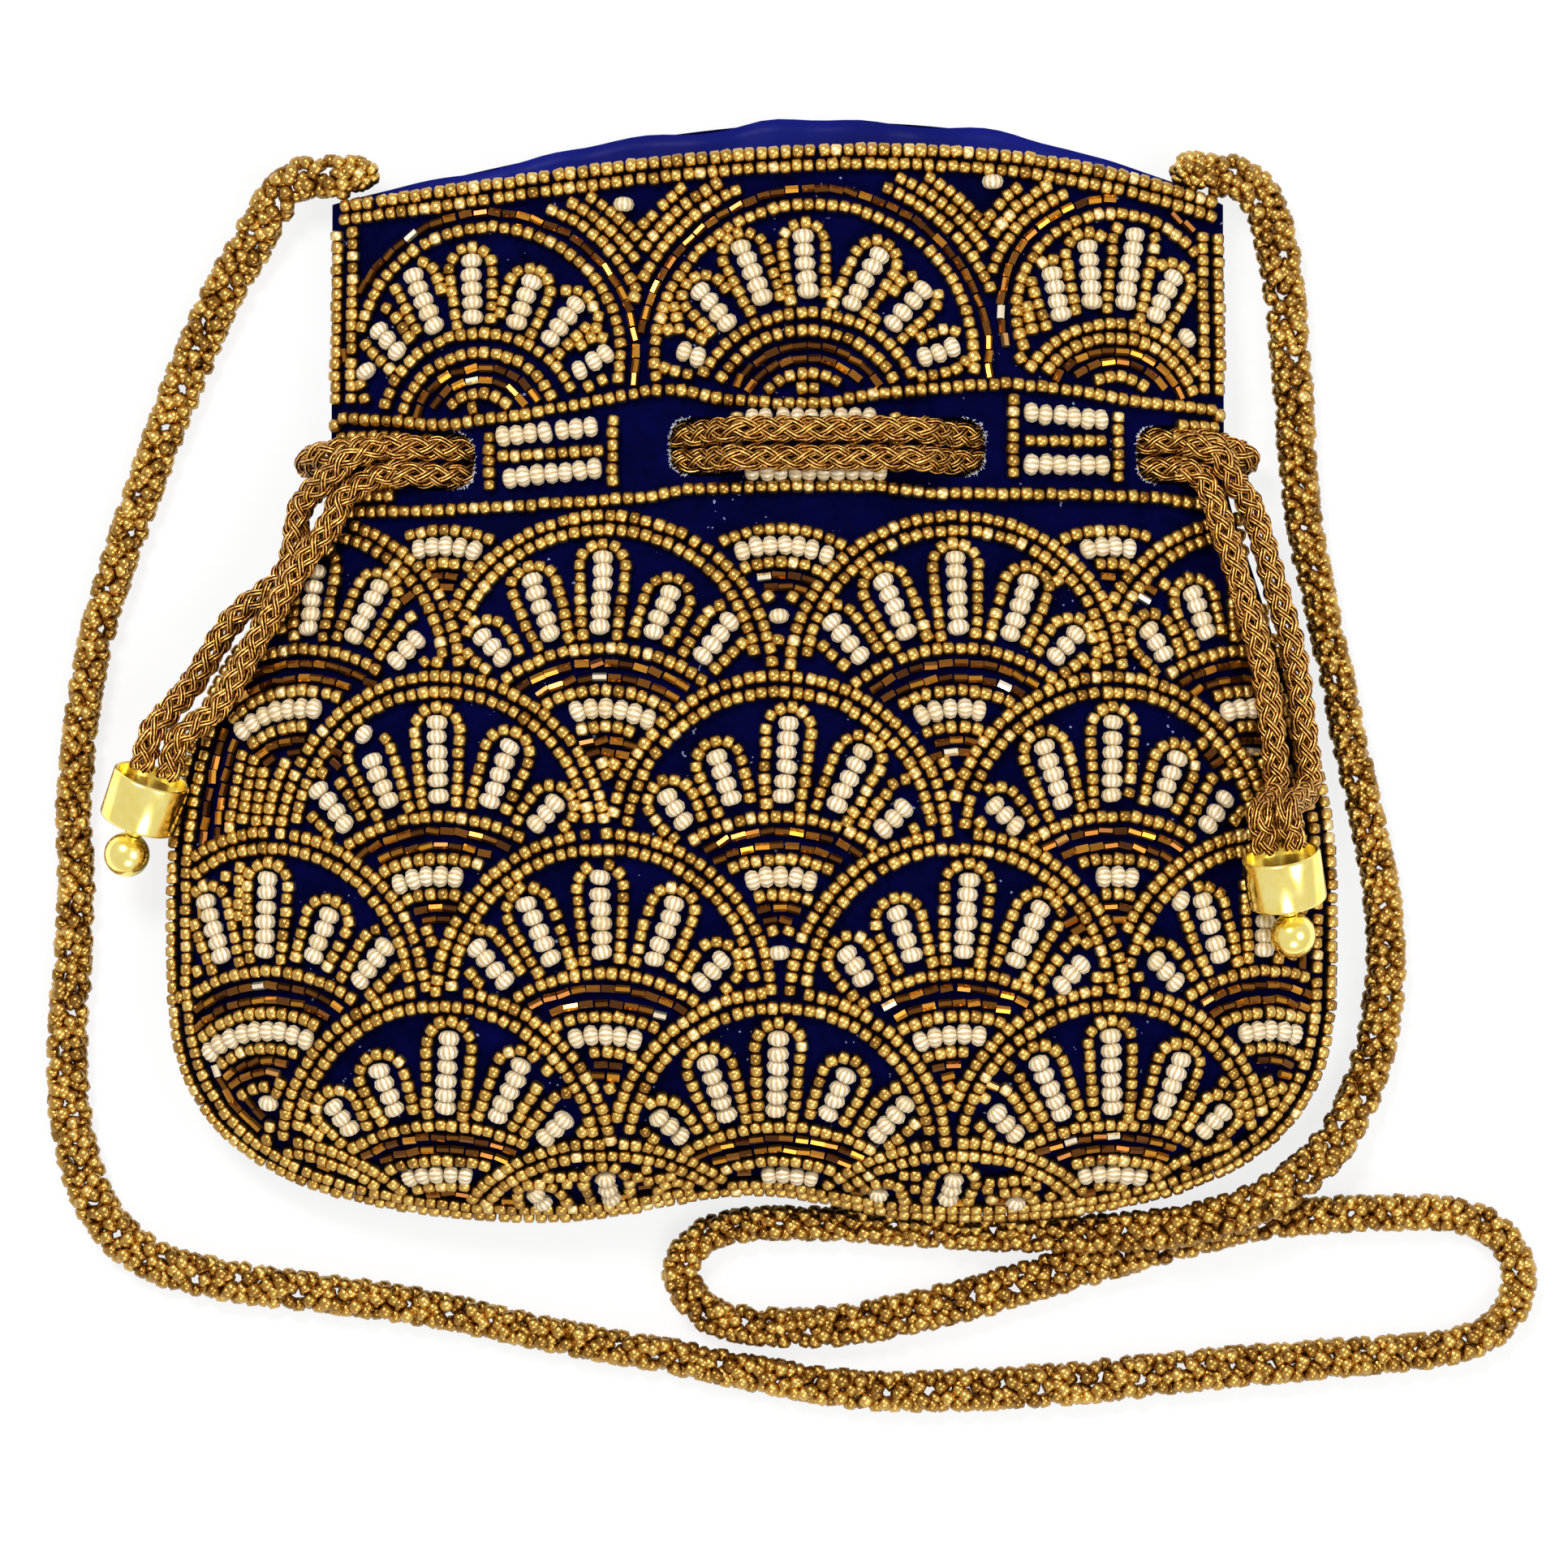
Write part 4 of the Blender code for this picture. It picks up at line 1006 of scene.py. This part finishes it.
def sheet_mesh(name, height, across, along, rise=0.0, edge=0.0):
    """A grid of the pouch's outline, lifted to its height."""
    bm = bmesh.new()
    bmesh.ops.create_grid(bm, x_segments=across, y_segments=along, size=1.0)
    for vert in bm.verts:
        share = math.sin(vert.co.x * math.pi / 2)
        climb = (vert.co.y + 1) / 2
        level = BELLY_Y + climb * (MOUTH_CORNER_Y - BELLY_Y)
        low_x = BELLY_HALF * share
        depth = float(bottom_depth(low_x)) * max(0.0, 1 - abs(share) ** CORNER_POWER) ** (1 / CORNER_POWER)
        x = float(lean(level)) + float(half_width(level)) * share
        top = float(mouth_edge(float(lean(MOUTH_Y)) + NECK_HALF * share, rise))
        top += edge * (math.sin(x / 6.1) + 0.7 * math.sin(x / 3.4 + 1.0)) * (1 - share * share)
        y = (BELLY_Y - depth) * (1 - climb) + top * climb
        vert.co = (x * MM, y * MM, height(x, y) * MM)
    mesh = bpy.data.meshes.new(name)
    bmesh.ops.recalc_face_normals(bm, faces=bm.faces)
    bm.to_mesh(mesh)
    bm.free()
    return mesh


def walled(obj, thickness, offset):
    """Gives a sheet its thickness."""
    wall = obj.modifiers.new("wall", "SOLIDIFY")
    wall.thickness = thickness * MM
    wall.offset = offset


def applied(obj):
    """Makes an object's modifiers part of its mesh."""
    graph = bpy.context.evaluated_depsgraph_get()
    mesh = bpy.data.meshes.new_from_object(obj.evaluated_get(graph))
    obj.modifiers.clear()
    obj.data = mesh
    return obj


def rounded(part):
    """How far out a slot's outline is, for the same share of a circle."""
    return math.copysign(abs(part) ** SLOT_ROUND, part)


def slot_block(end, long, y):
    """The upright block that cuts one slot."""
    half = abs(long) / 2
    low = float(seam_height(y)) + 1
    bm = bmesh.new()
    bmesh.ops.create_circle(bm, cap_ends=True, segments=48, radius=1.0)
    for vert in bm.verts:
        across = end + long / 2 + half * rounded(vert.co.x)
        vert.co = (across * MM, (y + SLOT_TALL * rounded(vert.co.y)) * MM, low * MM)
    raised = bmesh.ops.extrude_face_region(bm, geom=bm.faces[:])
    corners = [v for v in raised["geom"] if isinstance(v, bmesh.types.BMVert)]
    bmesh.ops.translate(bm, verts=corners, vec=(0, 0, (NECK_THICK + 5) * MM))
    bmesh.ops.recalc_face_normals(bm, faces=bm.faces)
    mesh = bpy.data.meshes.new("slot_block")
    bm.to_mesh(mesh)
    bm.free()
    obj = bpy.data.objects.new("slot_block", mesh)
    bpy.context.scene.collection.objects.link(obj)
    return obj


def panel(name, height, node, offset, rise, cuts=()):
    """One side of the pouch: velvet on its interlining, with its slots cut."""
    obj = add_piece(name, sheet_mesh(name, height, 90, 96, rise), ("velvet",), replaces=(node,))
    walled(obj, VELVET_THICK, offset)
    blocks = [slot_block(*cut) for cut in cuts]
    for block in blocks:
        cutter = obj.modifiers.new("slot", "BOOLEAN")
        cutter.operation = "DIFFERENCE"
        cutter.object = block
    applied(obj)
    for block in blocks:
        bpy.data.objects.remove(block, do_unlink=True)
    obj.data.materials.clear()
    obj.data.materials.append(MATERIALS["velvet"])
    obj.data.shade_smooth()
    obj.data.set_sharp_from_angle(angle=math.radians(50))


def channel(x, y):
    """How far the lining sinks under the draw cords."""
    near = smoothstep((2 * CHANNEL_HALF - abs(y - CORD_Y)) / CHANNEL_HALF)
    return CHANNEL * near * smoothstep((CHANNEL_END - from_middle(x, y)) / CHANNEL_FADE)


def crinkle(x, y):
    """How the satin's free edge waves near the mouth."""
    near = smoothstep((y - 84.0) / 16.0)
    return near * (1.2 * math.sin(x / 7.0) + 0.7 * math.sin(x / 3.1 + 1.2) + 0.9 * math.sin(x / 12.7 + 0.4))


def lining():
    """The satin pouch inside the velvet one. Its back stands above the mouth."""
    inset = WALL + LINING_GAP

    def front(x, y):
        return float(front_height(x, y, inset)) - float(channel(x, y))

    def back(x, y):
        return float(back_height(x, y, inset)) + abs(crinkle(x, y))

    for name, height, rise, other in (
        ("satin_front", front, 0.0, "front_panel"),
        ("satin_back", back, BACK_RISE, "back_panel"),
    ):
        mesh = sheet_mesh(name, height, 84, 84, rise, rise * SATIN_WAVE)
        obj = add_piece(name, mesh, ("satin",), replaces=("lining",) if rise else ())
        walled(obj, SATIN_THICK, 0.0)
        applied(obj)


# Cords

def smooth_line(points, spacing):
    """Points at even spacing on a Catmull-Rom curve through the route's own points."""
    route = [Vector(p) for p in points]
    route = [2 * route[0] - route[1], *route, 2 * route[-1] - route[-2]]
    fine = []
    for a, b, c, d in zip(route, route[1:], route[2:], route[3:]):
        for k in range(24):
            t = k / 24
            pull = (c - a) * t + (2 * a - 5 * b + 4 * c - d) * t * t + (3 * b - a - 3 * c + d) * t**3
            fine.append(b + pull / 2)
    fine.append(route[-2])
    fine = np.array(fine)
    walked = distances(np.linalg.norm(np.diff(fine, axis=0), axis=1))
    places = np.linspace(0.0, walked[-1], max(3, round(walked[-1] / spacing) + 1))
    return along_line(places, walked, fine), walked[-1]


def along_line(places, walked, line):
    """The points of a line at the given distances along it."""
    return np.stack([np.interp(places, walked, line[:, n]) for n in range(3)], axis=1)


def frames(line):
    """At each point of a line, the side and the way up, turned as little as can be."""
    ahead = np.gradient(line, axis=0)
    ahead /= np.linalg.norm(ahead, axis=1)[:, None]
    ups = []
    up = np.array((0.0, 0.0, 1.0))
    for way in ahead:
        up = up - way * up.dot(way)
        up /= np.linalg.norm(up)
        ups.append(up.copy())
        up = 0.8 * up + 0.2 * np.array((0.0, 0.0, 1.0))
    ups = np.array(ups)
    return np.cross(ahead, ups), ups


def strands_mesh(name, strands, radius):
    """A mesh of round strands, each a list of places."""
    curve = bpy.data.curves.new(name, "CURVE")
    curve.dimensions = "3D"
    curve.bevel_depth = radius * MM
    curve.bevel_resolution = 1
    curve.use_fill_caps = True
    for places in strands:
        spline = curve.splines.new("POLY")
        spline.points.add(len(places) - 1)
        for point, where in zip(spline.points, places):
            point.co = (*(np.array(where) * MM), 1.0)
    holder = bpy.data.objects.new(name, curve)
    bpy.context.scene.collection.objects.link(holder)
    graph = bpy.context.evaluated_depsgraph_get()
    mesh = bpy.data.meshes.new_from_object(holder.evaluated_get(graph))
    bpy.data.objects.remove(holder, do_unlink=True)
    return mesh


def braided(name, route, node):
    """A round plait of metallic thread along a route."""
    line, length = smooth_line(route, 0.6)
    side, up = frames(line)
    walked = np.linspace(0.0, length, len(line))
    radius = CORD / 2 - STRAND
    strands = []
    for k in range(BRAID_STRANDS):
        hand = 1 if k % 2 else -1
        turn = hand * math.tau * walked / BRAID_TURN + (k // 2) * math.tau / 4
        reach = radius + hand * BRAID_WEAVE * np.cos(4 * turn)
        strands.append(line + (side.T * np.cos(turn) * reach + up.T * np.sin(turn) * reach).T)
    mesh = strands_mesh(name, strands, STRAND)
    obj = add_piece(name, mesh, ("braid",), replaces=(node,))
    return obj, line * MM, length * MM


# Where the upper cord turns round each side seam, and where the lower one runs into the tails
CORD_TURNS = {
    "left": {
        "draw_cord_upper": ((-84.2, 37.6, 4.6), (-84.4, 38.6, 8.8), (-81.2, 39.8, 12.6), (-76.0, 40.5, 15.2)),
        "draw_cord_lower": ((-69.5, 35.4, 17.0),),
    },
    "right": {
        "draw_cord_upper": ((85.0, 42.0, 15.2), (90.2, 41.0, 12.4), (93.9, 39.4, 8.8), (93.8, 38.2, 4.6)),
        "draw_cord_lower": ((83.5, 36.8, 16.4),),
    },
}
# How each tail strand leaves the draw cords: (x, y, height above the velvet)
TAIL_STARTS = {
    "left_tail_1": ((-67.5, 41.0, 4.6), (-72.4, 38.6, 7.6), (-77.0, 33.6, 6.8)),
    "left_tail_2": ((-65.5, 35.9, 3.3), (-70.5, 34.4, 4.0), (-74.6, 30.2, 5.6)),
    "right_tail_1": ((79.5, 36.9, 3.3), (83.0, 34.6, 4.6)),
    "right_tail_2": ((80.5, 41.6, 4.6), (84.6, 39.4, 7.4), (87.0, 34.6, 6.6)),
}


def draw_cords():
    """Each cord shows at the left, in the middle and at the right, and runs in a tunnel between the slots."""
    tunnel = -WALL - CORD / 2 - 1.5 * GAP
    outside = CORD / 2 + 2 * GAP
    over = CORD / 2 + MELON_HIGH + GAP
    level = -WALL / 2
    ends = SLOT_ENDS
    for name, hand in (("draw_cord_upper", 1), ("draw_cord_lower", -1)):
        offset = hand * CORD_PAIR / 2
        left, right = SLOT_Y[0] + offset, SLOT_Y[3] + offset
        middle = CORD_Y + offset
        stretch = (
            (ends[0] - 13.5, left, outside),
            (ends[0] - 7, left, level),
            (ends[0] - 0.5, left, tunnel),
            (ends[0] + 4, left, tunnel),
            ((ends[0] + ends[1]) / 2, middle * 0.7 + left * 0.3, tunnel),
            (ends[1] - 4, middle, tunnel),
            (ends[1] + 0.5, middle, tunnel),
            (ends[1] + 7, middle, level),
            (ends[1] + 12.5, middle, over - 0.6),
            (ends[1] + 20, middle, over),
            ((ends[1] + ends[2]) / 2, middle, over),
            (ends[2] - 20, middle, over),
            (ends[2] - 12.5, middle, over - 0.6),
            (ends[2] - 7, middle, level),
            (ends[2] + 0.5, middle, tunnel),
            (ends[2] + 4, middle, tunnel),
            (ends[3] - 4, right, tunnel),
            (ends[3] + 0.5, right, tunnel),
            (ends[3] + 6.5, right, level + 0.5),
        )
        points = [on_front(*place) for place in stretch]
        turns = [[Vector(p) for p in CORD_TURNS[side][name]] for side in ("left", "right")]
        braided(f"{name}_braid", [*turns[0], *points, *turns[1]], name)


def right_cap_pose():
    middle = on_front(*RIGHT_CAP_XY, CAP_RADIUS + MELON_HIGH + 2 * GAP)
    ball = on_front(*RIGHT_BALL_XY, CAP_RADIUS + BEAD_HIGH - 1.5)
    return middle, (ball - middle).normalized()


LEFT_TAIL = ((-78.8, 27.0, 1.08), (-85.6, 16.0, 1.08), (-92.0, 5.0, 1.1), (-99.0, -7.0, 1.1))
RIGHT_TAIL = (
    (88.2, 27.0, 1.08), (92.0, 14.0, 1.08), (95.5, 1.0, 1.1), (97.6, -12.0, 1.1), (98.6, -24.0, 1.1),
)


def tails():
    """Two strands from the side of the neck to each cap."""
    above = CORD / 2 + MELON_HIGH + GAP
    for side, middle, axis, route in (
        ("left", LEFT_CAP, LEFT_AXIS, LEFT_TAIL),
        ("right", *right_cap_pose(), RIGHT_TAIL),
    ):
        seat = middle - axis * (CAP_LONG / 2 + 3 * GAP)
        lead = seat - axis * 4
        across = axis.cross(Vector((0, 0, 1))).normalized()
        for number, hand in ((1, -1), (2, 1)):
            points = [on_front(*start) for start in TAIL_STARTS[f"{side}_tail_{number}"]]
            for k, (x, y, apart) in enumerate(route):
                before = route[max(k - 1, 0)]
                after = route[min(k + 1, len(route) - 1)]
                run = Vector((after[0] - before[0], after[1] - before[1])).normalized()
                offset = hand * apart * CORD_PAIR / 2
                points.append(on_front(x - run.y * offset, y + run.x * offset, above))
            side_step = across * (-hand) * (CORD / 2 + GAP / 2)
            points += [lead - axis * 4 + side_step, lead + side_step, seat + side_step]
            name = f"{side}_tail_{number}"
            obj, line, length = braided(f"{name}_braid", points, name)
            tuple(line[0])
            [tuple(p) for p in line]


STRAP_ROUTE = (
    (-76.8, 92.6, 9.0), (-80.9, 93.0, 8.6), (-86.5, 92.2, 7.8), (-91.8, 87.0, 6.0), (-96.0, 79.5, 4.4),
    (-102.0, 69.0, 3.9), (-108.5, 54.0, 3.9), (-114.5, 38.0, 3.9), (-119.5, 24.0, 3.9), (-124.5, 8.0, 3.9),
    (-128.0, -10.0, 3.9), (-129.5, -28.0, 3.9), (-129.0, -42.0, 3.9), (-129.8, -58.0, 3.9),
    (-130.8, -76.0, 3.9), (-128.8, -93.0, 3.9), (-123.0, -106.5, 3.9), (-112.0, -114.5, 3.9),
    (-96.0, -118.0, 3.9), (-78.0, -120.3, 3.9), (-60.0, -123.0, 3.9), (-38.0, -127.8, 3.9),
    (-15.0, -132.0, 3.9), (5.0, -136.0, 3.9), (25.0, -138.5, 3.9), (55.0, -137.5, 3.9), (85.0, -134.5, 3.9),
    (108.0, -132.5, 3.9), (123.0, -131.3, 3.9), (134.0, -129.8, 3.9), (143.0, -125.5, 3.9),
    (146.4, -117.0, 3.9), (142.6, -108.6, 3.9), (133.5, -104.8, 3.9), (116.0, -104.6, 4.0),
    (97.0, -106.0, 4.0), (78.0, -110.5, 3.9), (58.0, -116.0, 3.9), (38.0, -121.8, 3.9), (18.0, -125.8, 3.9),
    (2.0, -126.2, 3.9), (-8.5, -123.6, 3.9), (-13.6, -116.2, 3.9), (-9.6, -109.2, 3.9), (0.0, -106.6, 3.9),
    (16.0, -106.6, 3.9), (40.0, -108.0, 4.4), (62.0, -108.2, 6.6), (80.0, -106.8, 10.4), (92.0, -103.6, 12.0),
    (103.0, -98.0, 10.6), (111.5, -90.0, 6.4), (117.5, -78.0, 3.9), (120.6, -63.0, 3.9), (120.6, -47.0, 3.9),
    (118.0, -32.0, 3.9), (114.6, -17.0, 3.9), (111.6, -2.0, 3.9), (108.0, 14.0, 3.9), (104.8, 32.0, 3.9),
    (103.0, 56.0, 3.9), (101.2, 74.0, 4.2), (99.0, 84.0, 5.6), (95.2, 91.0, 7.6), (90.4, 93.0, 8.5),
    (86.2, 93.0, 9.0),
)
STRAP_STRINGS, STRAP_TURN, STRAP_BEAD, STRAP_TONE, STRAP_SPREAD = 4, 15.5, 1.07, 0.26, 0.18
STRAP_SIDE, STRAP_UP = 2.9, 1.2
LEFT_ANCHOR, RIGHT_ANCHOR = (-75.2, 93.2, 8.5), (84.0, 93.8, 8.5)
ANCHOR_SIZE, ANCHOR_BEADS, GOLDEN_TURN = (4.6, 4.0, 3.2), 26, 2.399963


def strap():
    """A rope of four strings of seed beads, tighter in some places than in others."""
    line, length = smooth_line(STRAP_ROUTE, 0.5)
    side, up = frames(line)
    walked = np.linspace(0.0, length, len(line))
    work = Beadwork()
    for k in range(STRAP_STRINGS):
        turn = math.tau * (walked / STRAP_TURN + k / STRAP_STRINGS)
        turn += 0.45 * np.sin(walked / 17.0 + 1.7 * k) + 0.3 * np.sin(walked / 7.3 + k)
        across = STRAP_SIDE * np.sign(np.sin(turn)) * np.abs(np.sin(turn)) ** 0.6
        across *= 0.88 + 0.14 * np.sin(walked / 31.0 + 0.8)
        rise = STRAP_UP * np.sin(2 * turn + 0.6)
        string = line + side * across[:, None] + up * rise[:, None]
        along = distances(np.linalg.norm(np.diff(string, axis=0), axis=1))
        places = []
        reach = 0.8
        while reach < along[-1] - 0.8:
            places.append(reach)
            reach += PITCH["seed"] * STRAP_BEAD * dice.uniform(0.96, 1.14)
        spots, ways, ups = (along_line(places, along, v) for v in (string, np.gradient(string, axis=0), up))
        for where, way, above in zip(spots, ways, ups):
            tone = chance_tone(STRAP_TONE, STRAP_SPREAD)
            work.bead("seed", Vector(where), Vector(way), Vector(above), tone, STRAP_BEAD)
    obj = work.finish("shoulder_strap_beads", ("shoulder_strap",))
    anchors = [anchor("left", LEFT_ANCHOR), anchor("right", RIGHT_ANCHOR)]
    [tuple(p) for p in line[::8] * MM]


def anchor(side, where):
    """The cluster of beads that the strap is sewn into."""
    work = Beadwork()
    for k in range(ANCHOR_BEADS):
        rise = 1 - 2 * (k + 0.5) / ANCHOR_BEADS
        ring = math.sqrt(1 - rise * rise)
        turn = k * GOLDEN_TURN
        out = Vector((ring * math.cos(turn), ring * math.sin(turn), rise))
        reach = Vector(o * s * 0.7 * dice.uniform(0.75, 1.1) for o, s in zip(out, ANCHOR_SIZE))
        work.bead("seed", Vector(where) + reach, out.orthogonal(), out, chance_tone(0.45))
    return work.finish(f"strap_anchor_{side}_beads", (f"strap_anchor_{side}",))


# Cord ends

def lathe(name, profile, where, axis, node, body, steps=64):
    """A turned piece of gold in its place."""
    bm = turned(profile, steps)
    bmesh.ops.transform(bm, matrix=pose(where, axis, axis.orthogonal()), verts=bm.verts)
    mesh = bpy.data.meshes.new(name)
    bm.to_mesh(mesh)
    bm.free()
    obj = add_piece(name, mesh, ("gold",), body, (node,))
    mesh.set_sharp_from_angle(angle=math.radians(45))
    return obj


def arc(radius, centre, start, end, steps):
    turns = [start + (end - start) * k / steps for k in range(steps + 1)]
    return [(centre - radius * math.cos(turn), radius * math.sin(turn)) for turn in turns]


def cord_end(side, middle, axis):
    """Cap, stem and ball in line along the axis."""
    half, bevel, lip = CAP_LONG / 2, CAP_BEVEL, CAP_LIP
    cap = [
        (-half + CAP_CUP, 0.0), (-half + CAP_CUP, CAP_RADIUS - lip), (-half + 0.2, CAP_RADIUS - lip + 0.1),
        (-half, CAP_RADIUS - lip / 2), (-half + 0.2, CAP_RADIUS - 0.12), (-half + 0.5, CAP_RADIUS),
    ]
    cap += [
        (half - bevel + bevel * math.sin(t), CAP_RADIUS - bevel + bevel * math.cos(t))
        for t in np.linspace(0, math.pi / 2, 6)
    ]
    cap += [(half, 2.6), (half + 0.02, 2.5), (half, 0.0)]
    made = lathe(f"{side}_cap", cap, middle, axis, f"{side}_end_cap", "pouch")
    foot = half + GAP / 2
    ball_low = half + GAP + STEM_LONG + GAP
    ball_middle = ball_low + math.sqrt(BALL_RADIUS**2 - STEM_RADIUS**2)
    entry = math.asin(BORE_RADIUS / BALL_RADIUS)
    out = math.pi - math.asin(HEAD_SEAT / BALL_RADIUS)
    ball = arc(BALL_RADIUS, ball_middle, entry, out, 28)
    seat = ball[-1][0] - HEAD_DEEP
    ball += [(ball[-1][0] - 0.15, HEAD_SEAT - 0.12), (seat, HEAD_SEAT - 0.12), (seat, BORE_RADIUS)]
    lathe(f"{side}_ball", ball, middle, axis, f"{side}_end_ball", f"{side}_ball")
    pin_end = seat + GAP
    stem = [
        (foot, 0.0), (foot, STEM_RADIUS + 0.5), (foot + 0.35, STEM_RADIUS + 0.45), (foot + 0.6, STEM_RADIUS),
        (half + GAP + STEM_LONG - 0.2, STEM_RADIUS), (half + GAP + STEM_LONG, STEM_RADIUS - 0.2),
        (half + GAP + STEM_LONG, PIN_RADIUS), (pin_end, PIN_RADIUS), (pin_end, HEAD_RADIUS),
        (pin_end + HEAD_LONG - 0.25, HEAD_RADIUS), (pin_end + HEAD_LONG, HEAD_RADIUS - 0.4),
        (pin_end + HEAD_LONG, 0.0),
    ]
    lathe(f"{side}_stem", stem, middle, axis, f"{side}_end_stem", "pouch", 40)
    return made


def frayed_slots():
    """White backing threads that show where the velvet is cut for the cords."""
    bm = bmesh.new()
    for end, long, y in zip(SLOT_ENDS, SLOT_LONG, SLOT_Y):
        hand = -math.copysign(1, long)
        for _ in range(SLOT_THREADS):
            turn = dice.uniform(-1.35, 1.35)
            rise = rounded(math.sin(turn))
            x = end + long / 2 + hand * abs(long) / 2 * rounded(math.cos(turn))
            x += hand * dice.uniform(-0.25, 0.25)
            py = y + SLOT_TALL * rise + dice.uniform(-0.2, 0.2)
            root = on_front(x, py, dice.uniform(-0.6, 0.25))
            way = Vector((
                -hand * dice.uniform(-0.3, 1.0),
                dice.uniform(-0.8, 0.8) - 0.5 * rise,
                dice.uniform(-0.1, 0.7),
            ))
            way.normalize()
            size = {"radius1": 0.11, "radius2": 0.03, "depth": dice.uniform(0.35, 0.9)}
            made = bmesh.ops.create_cone(bm, cap_ends=True, segments=4, **size)
            turn_to = Vector((0, 0, 1)).rotation_difference(way).to_matrix().to_4x4()
            matrix = Matrix.Translation(root * MM) @ Matrix.Diagonal((MM, MM, MM, 1.0)) @ turn_to
            bmesh.ops.transform(bm, matrix=matrix, verts=made["verts"])
    mesh = bpy.data.meshes.new("slot_threads")
    bm.to_mesh(mesh)
    bm.free()
    add_piece("slot_threads", mesh, ("thread",))


def front_sheet(x, y):
    return float(front_height(x, y))


def back_sheet(x, y):
    return float(back_height(x, y))


slots = zip(SLOT_ENDS, SLOT_LONG, SLOT_Y)
panel("velvet_front", front_sheet, "front_panel", -1.0, 0.0, slots)
panel("velvet_back", back_sheet, "back_panel", 1.0, BACK_RISE)
lining()
frayed_slots()
draw_cords()
caps = {
    "left": cord_end("left", LEFT_CAP, LEFT_AXIS),
    "right": cord_end("right", *right_cap_pose()),
}
tails()
strap()


# Camera, floor and light

CAMERA_MIDDLE, CAMERA_HEIGHT = (6.1, -22.6), 1150.0
FRAME_WIDE, FRAME_LEVEL, SENSOR = 295.0, 20.0, 36.0
FLOOR_HALF, FLOOR_GAP, FLOOR_PALE, FLOOR_WHITE = 3.0, 0.2, 0.9, 0.8
WORLD_LIGHT = 0.45
# Each lamp's place and size in metres, and its power in watts
LAMPS = {
    "key": ((-0.45, 0.75, 1.25), 0.5, 16.0),
    "fill": ((0.8, -0.1, 1.1), 0.7, 6.0),
    "low": ((0.1, -0.9, 0.8), 0.5, 4.0),
}


def camera():
    data = bpy.data.cameras.new("camera")
    data.sensor_width = SENSOR
    data.lens = SENSOR * (CAMERA_HEIGHT - FRAME_LEVEL) / FRAME_WIDE
    data.clip_end = 20.0
    obj = bpy.data.objects.new("camera", data)
    obj.location = (CAMERA_MIDDLE[0] * MM, CAMERA_MIDDLE[1] * MM, CAMERA_HEIGHT * MM)
    bpy.context.scene.collection.objects.link(obj)
    bpy.context.scene.camera = obj


def floor():
    """A pale floor just under the pouch, nearly white to the camera."""
    bm = bmesh.new()
    bmesh.ops.create_grid(bm, x_segments=1, y_segments=1, size=FLOOR_HALF)
    bmesh.ops.translate(bm, verts=bm.verts, vec=(0, 0, -FLOOR_GAP * MM))
    mesh = bpy.data.meshes.new("floor")
    bm.to_mesh(mesh)
    bm.free()
    obj = bpy.data.objects.new("floor", mesh)
    bpy.context.scene.collection.objects.link(obj)
    finish = Finish("floor", Base_Color=(FLOOR_PALE,) * 3, Roughness=0.9)
    glow = finish.node("ShaderNodeEmission", None, Strength=1.0).out()
    seen = finish.node("ShaderNodeLightPath").number("Is Camera Ray") * FLOOR_WHITE
    finish.show(seen, finish.shader.outputs[0], glow, "Material Output")
    mesh.materials.append(finish.material)


def lamp(name, where, size, power):
    data = bpy.data.lights.new(name, "AREA")
    data.shape = "DISK"
    data.size = size
    data.energy = power
    obj = bpy.data.objects.new(name, data)
    obj.location = where
    obj.rotation_euler = (-Vector(where)).to_track_quat("-Z", "Y").to_euler()
    bpy.context.scene.collection.objects.link(obj)


def world():
    """Soft light all round, and white where the camera or a shiny bead looks past the floor."""
    made = bpy.data.worlds.new("studio")
    bpy.context.scene.world = made
    made.use_nodes = True
    nodes = Nodes(made.node_tree)
    plain = nodes.tree.nodes["Background"]
    plain.inputs["Color"].default_value = (1.0, 1.0, 1.0, 1.0)
    plain.inputs["Strength"].default_value = WORLD_LIGHT
    white = nodes.node("ShaderNodeBackground", None, Strength=1.0).out()
    rays = nodes.node("ShaderNodeLightPath")
    sides = (rays.number("Is Camera Ray"), rays.number("Is Glossy Ray"))
    seen = nodes.node("ShaderNodeMath", {"operation": "MAXIMUM"}, *sides).number()
    nodes.show(seen, plain.outputs[0], white, "World Output")


camera()
floor()
for name, (where, size, power) in LAMPS.items():
    lamp(name, where, size, power)
world()
bpy.context.scene.view_settings.view_transform = "Standard"
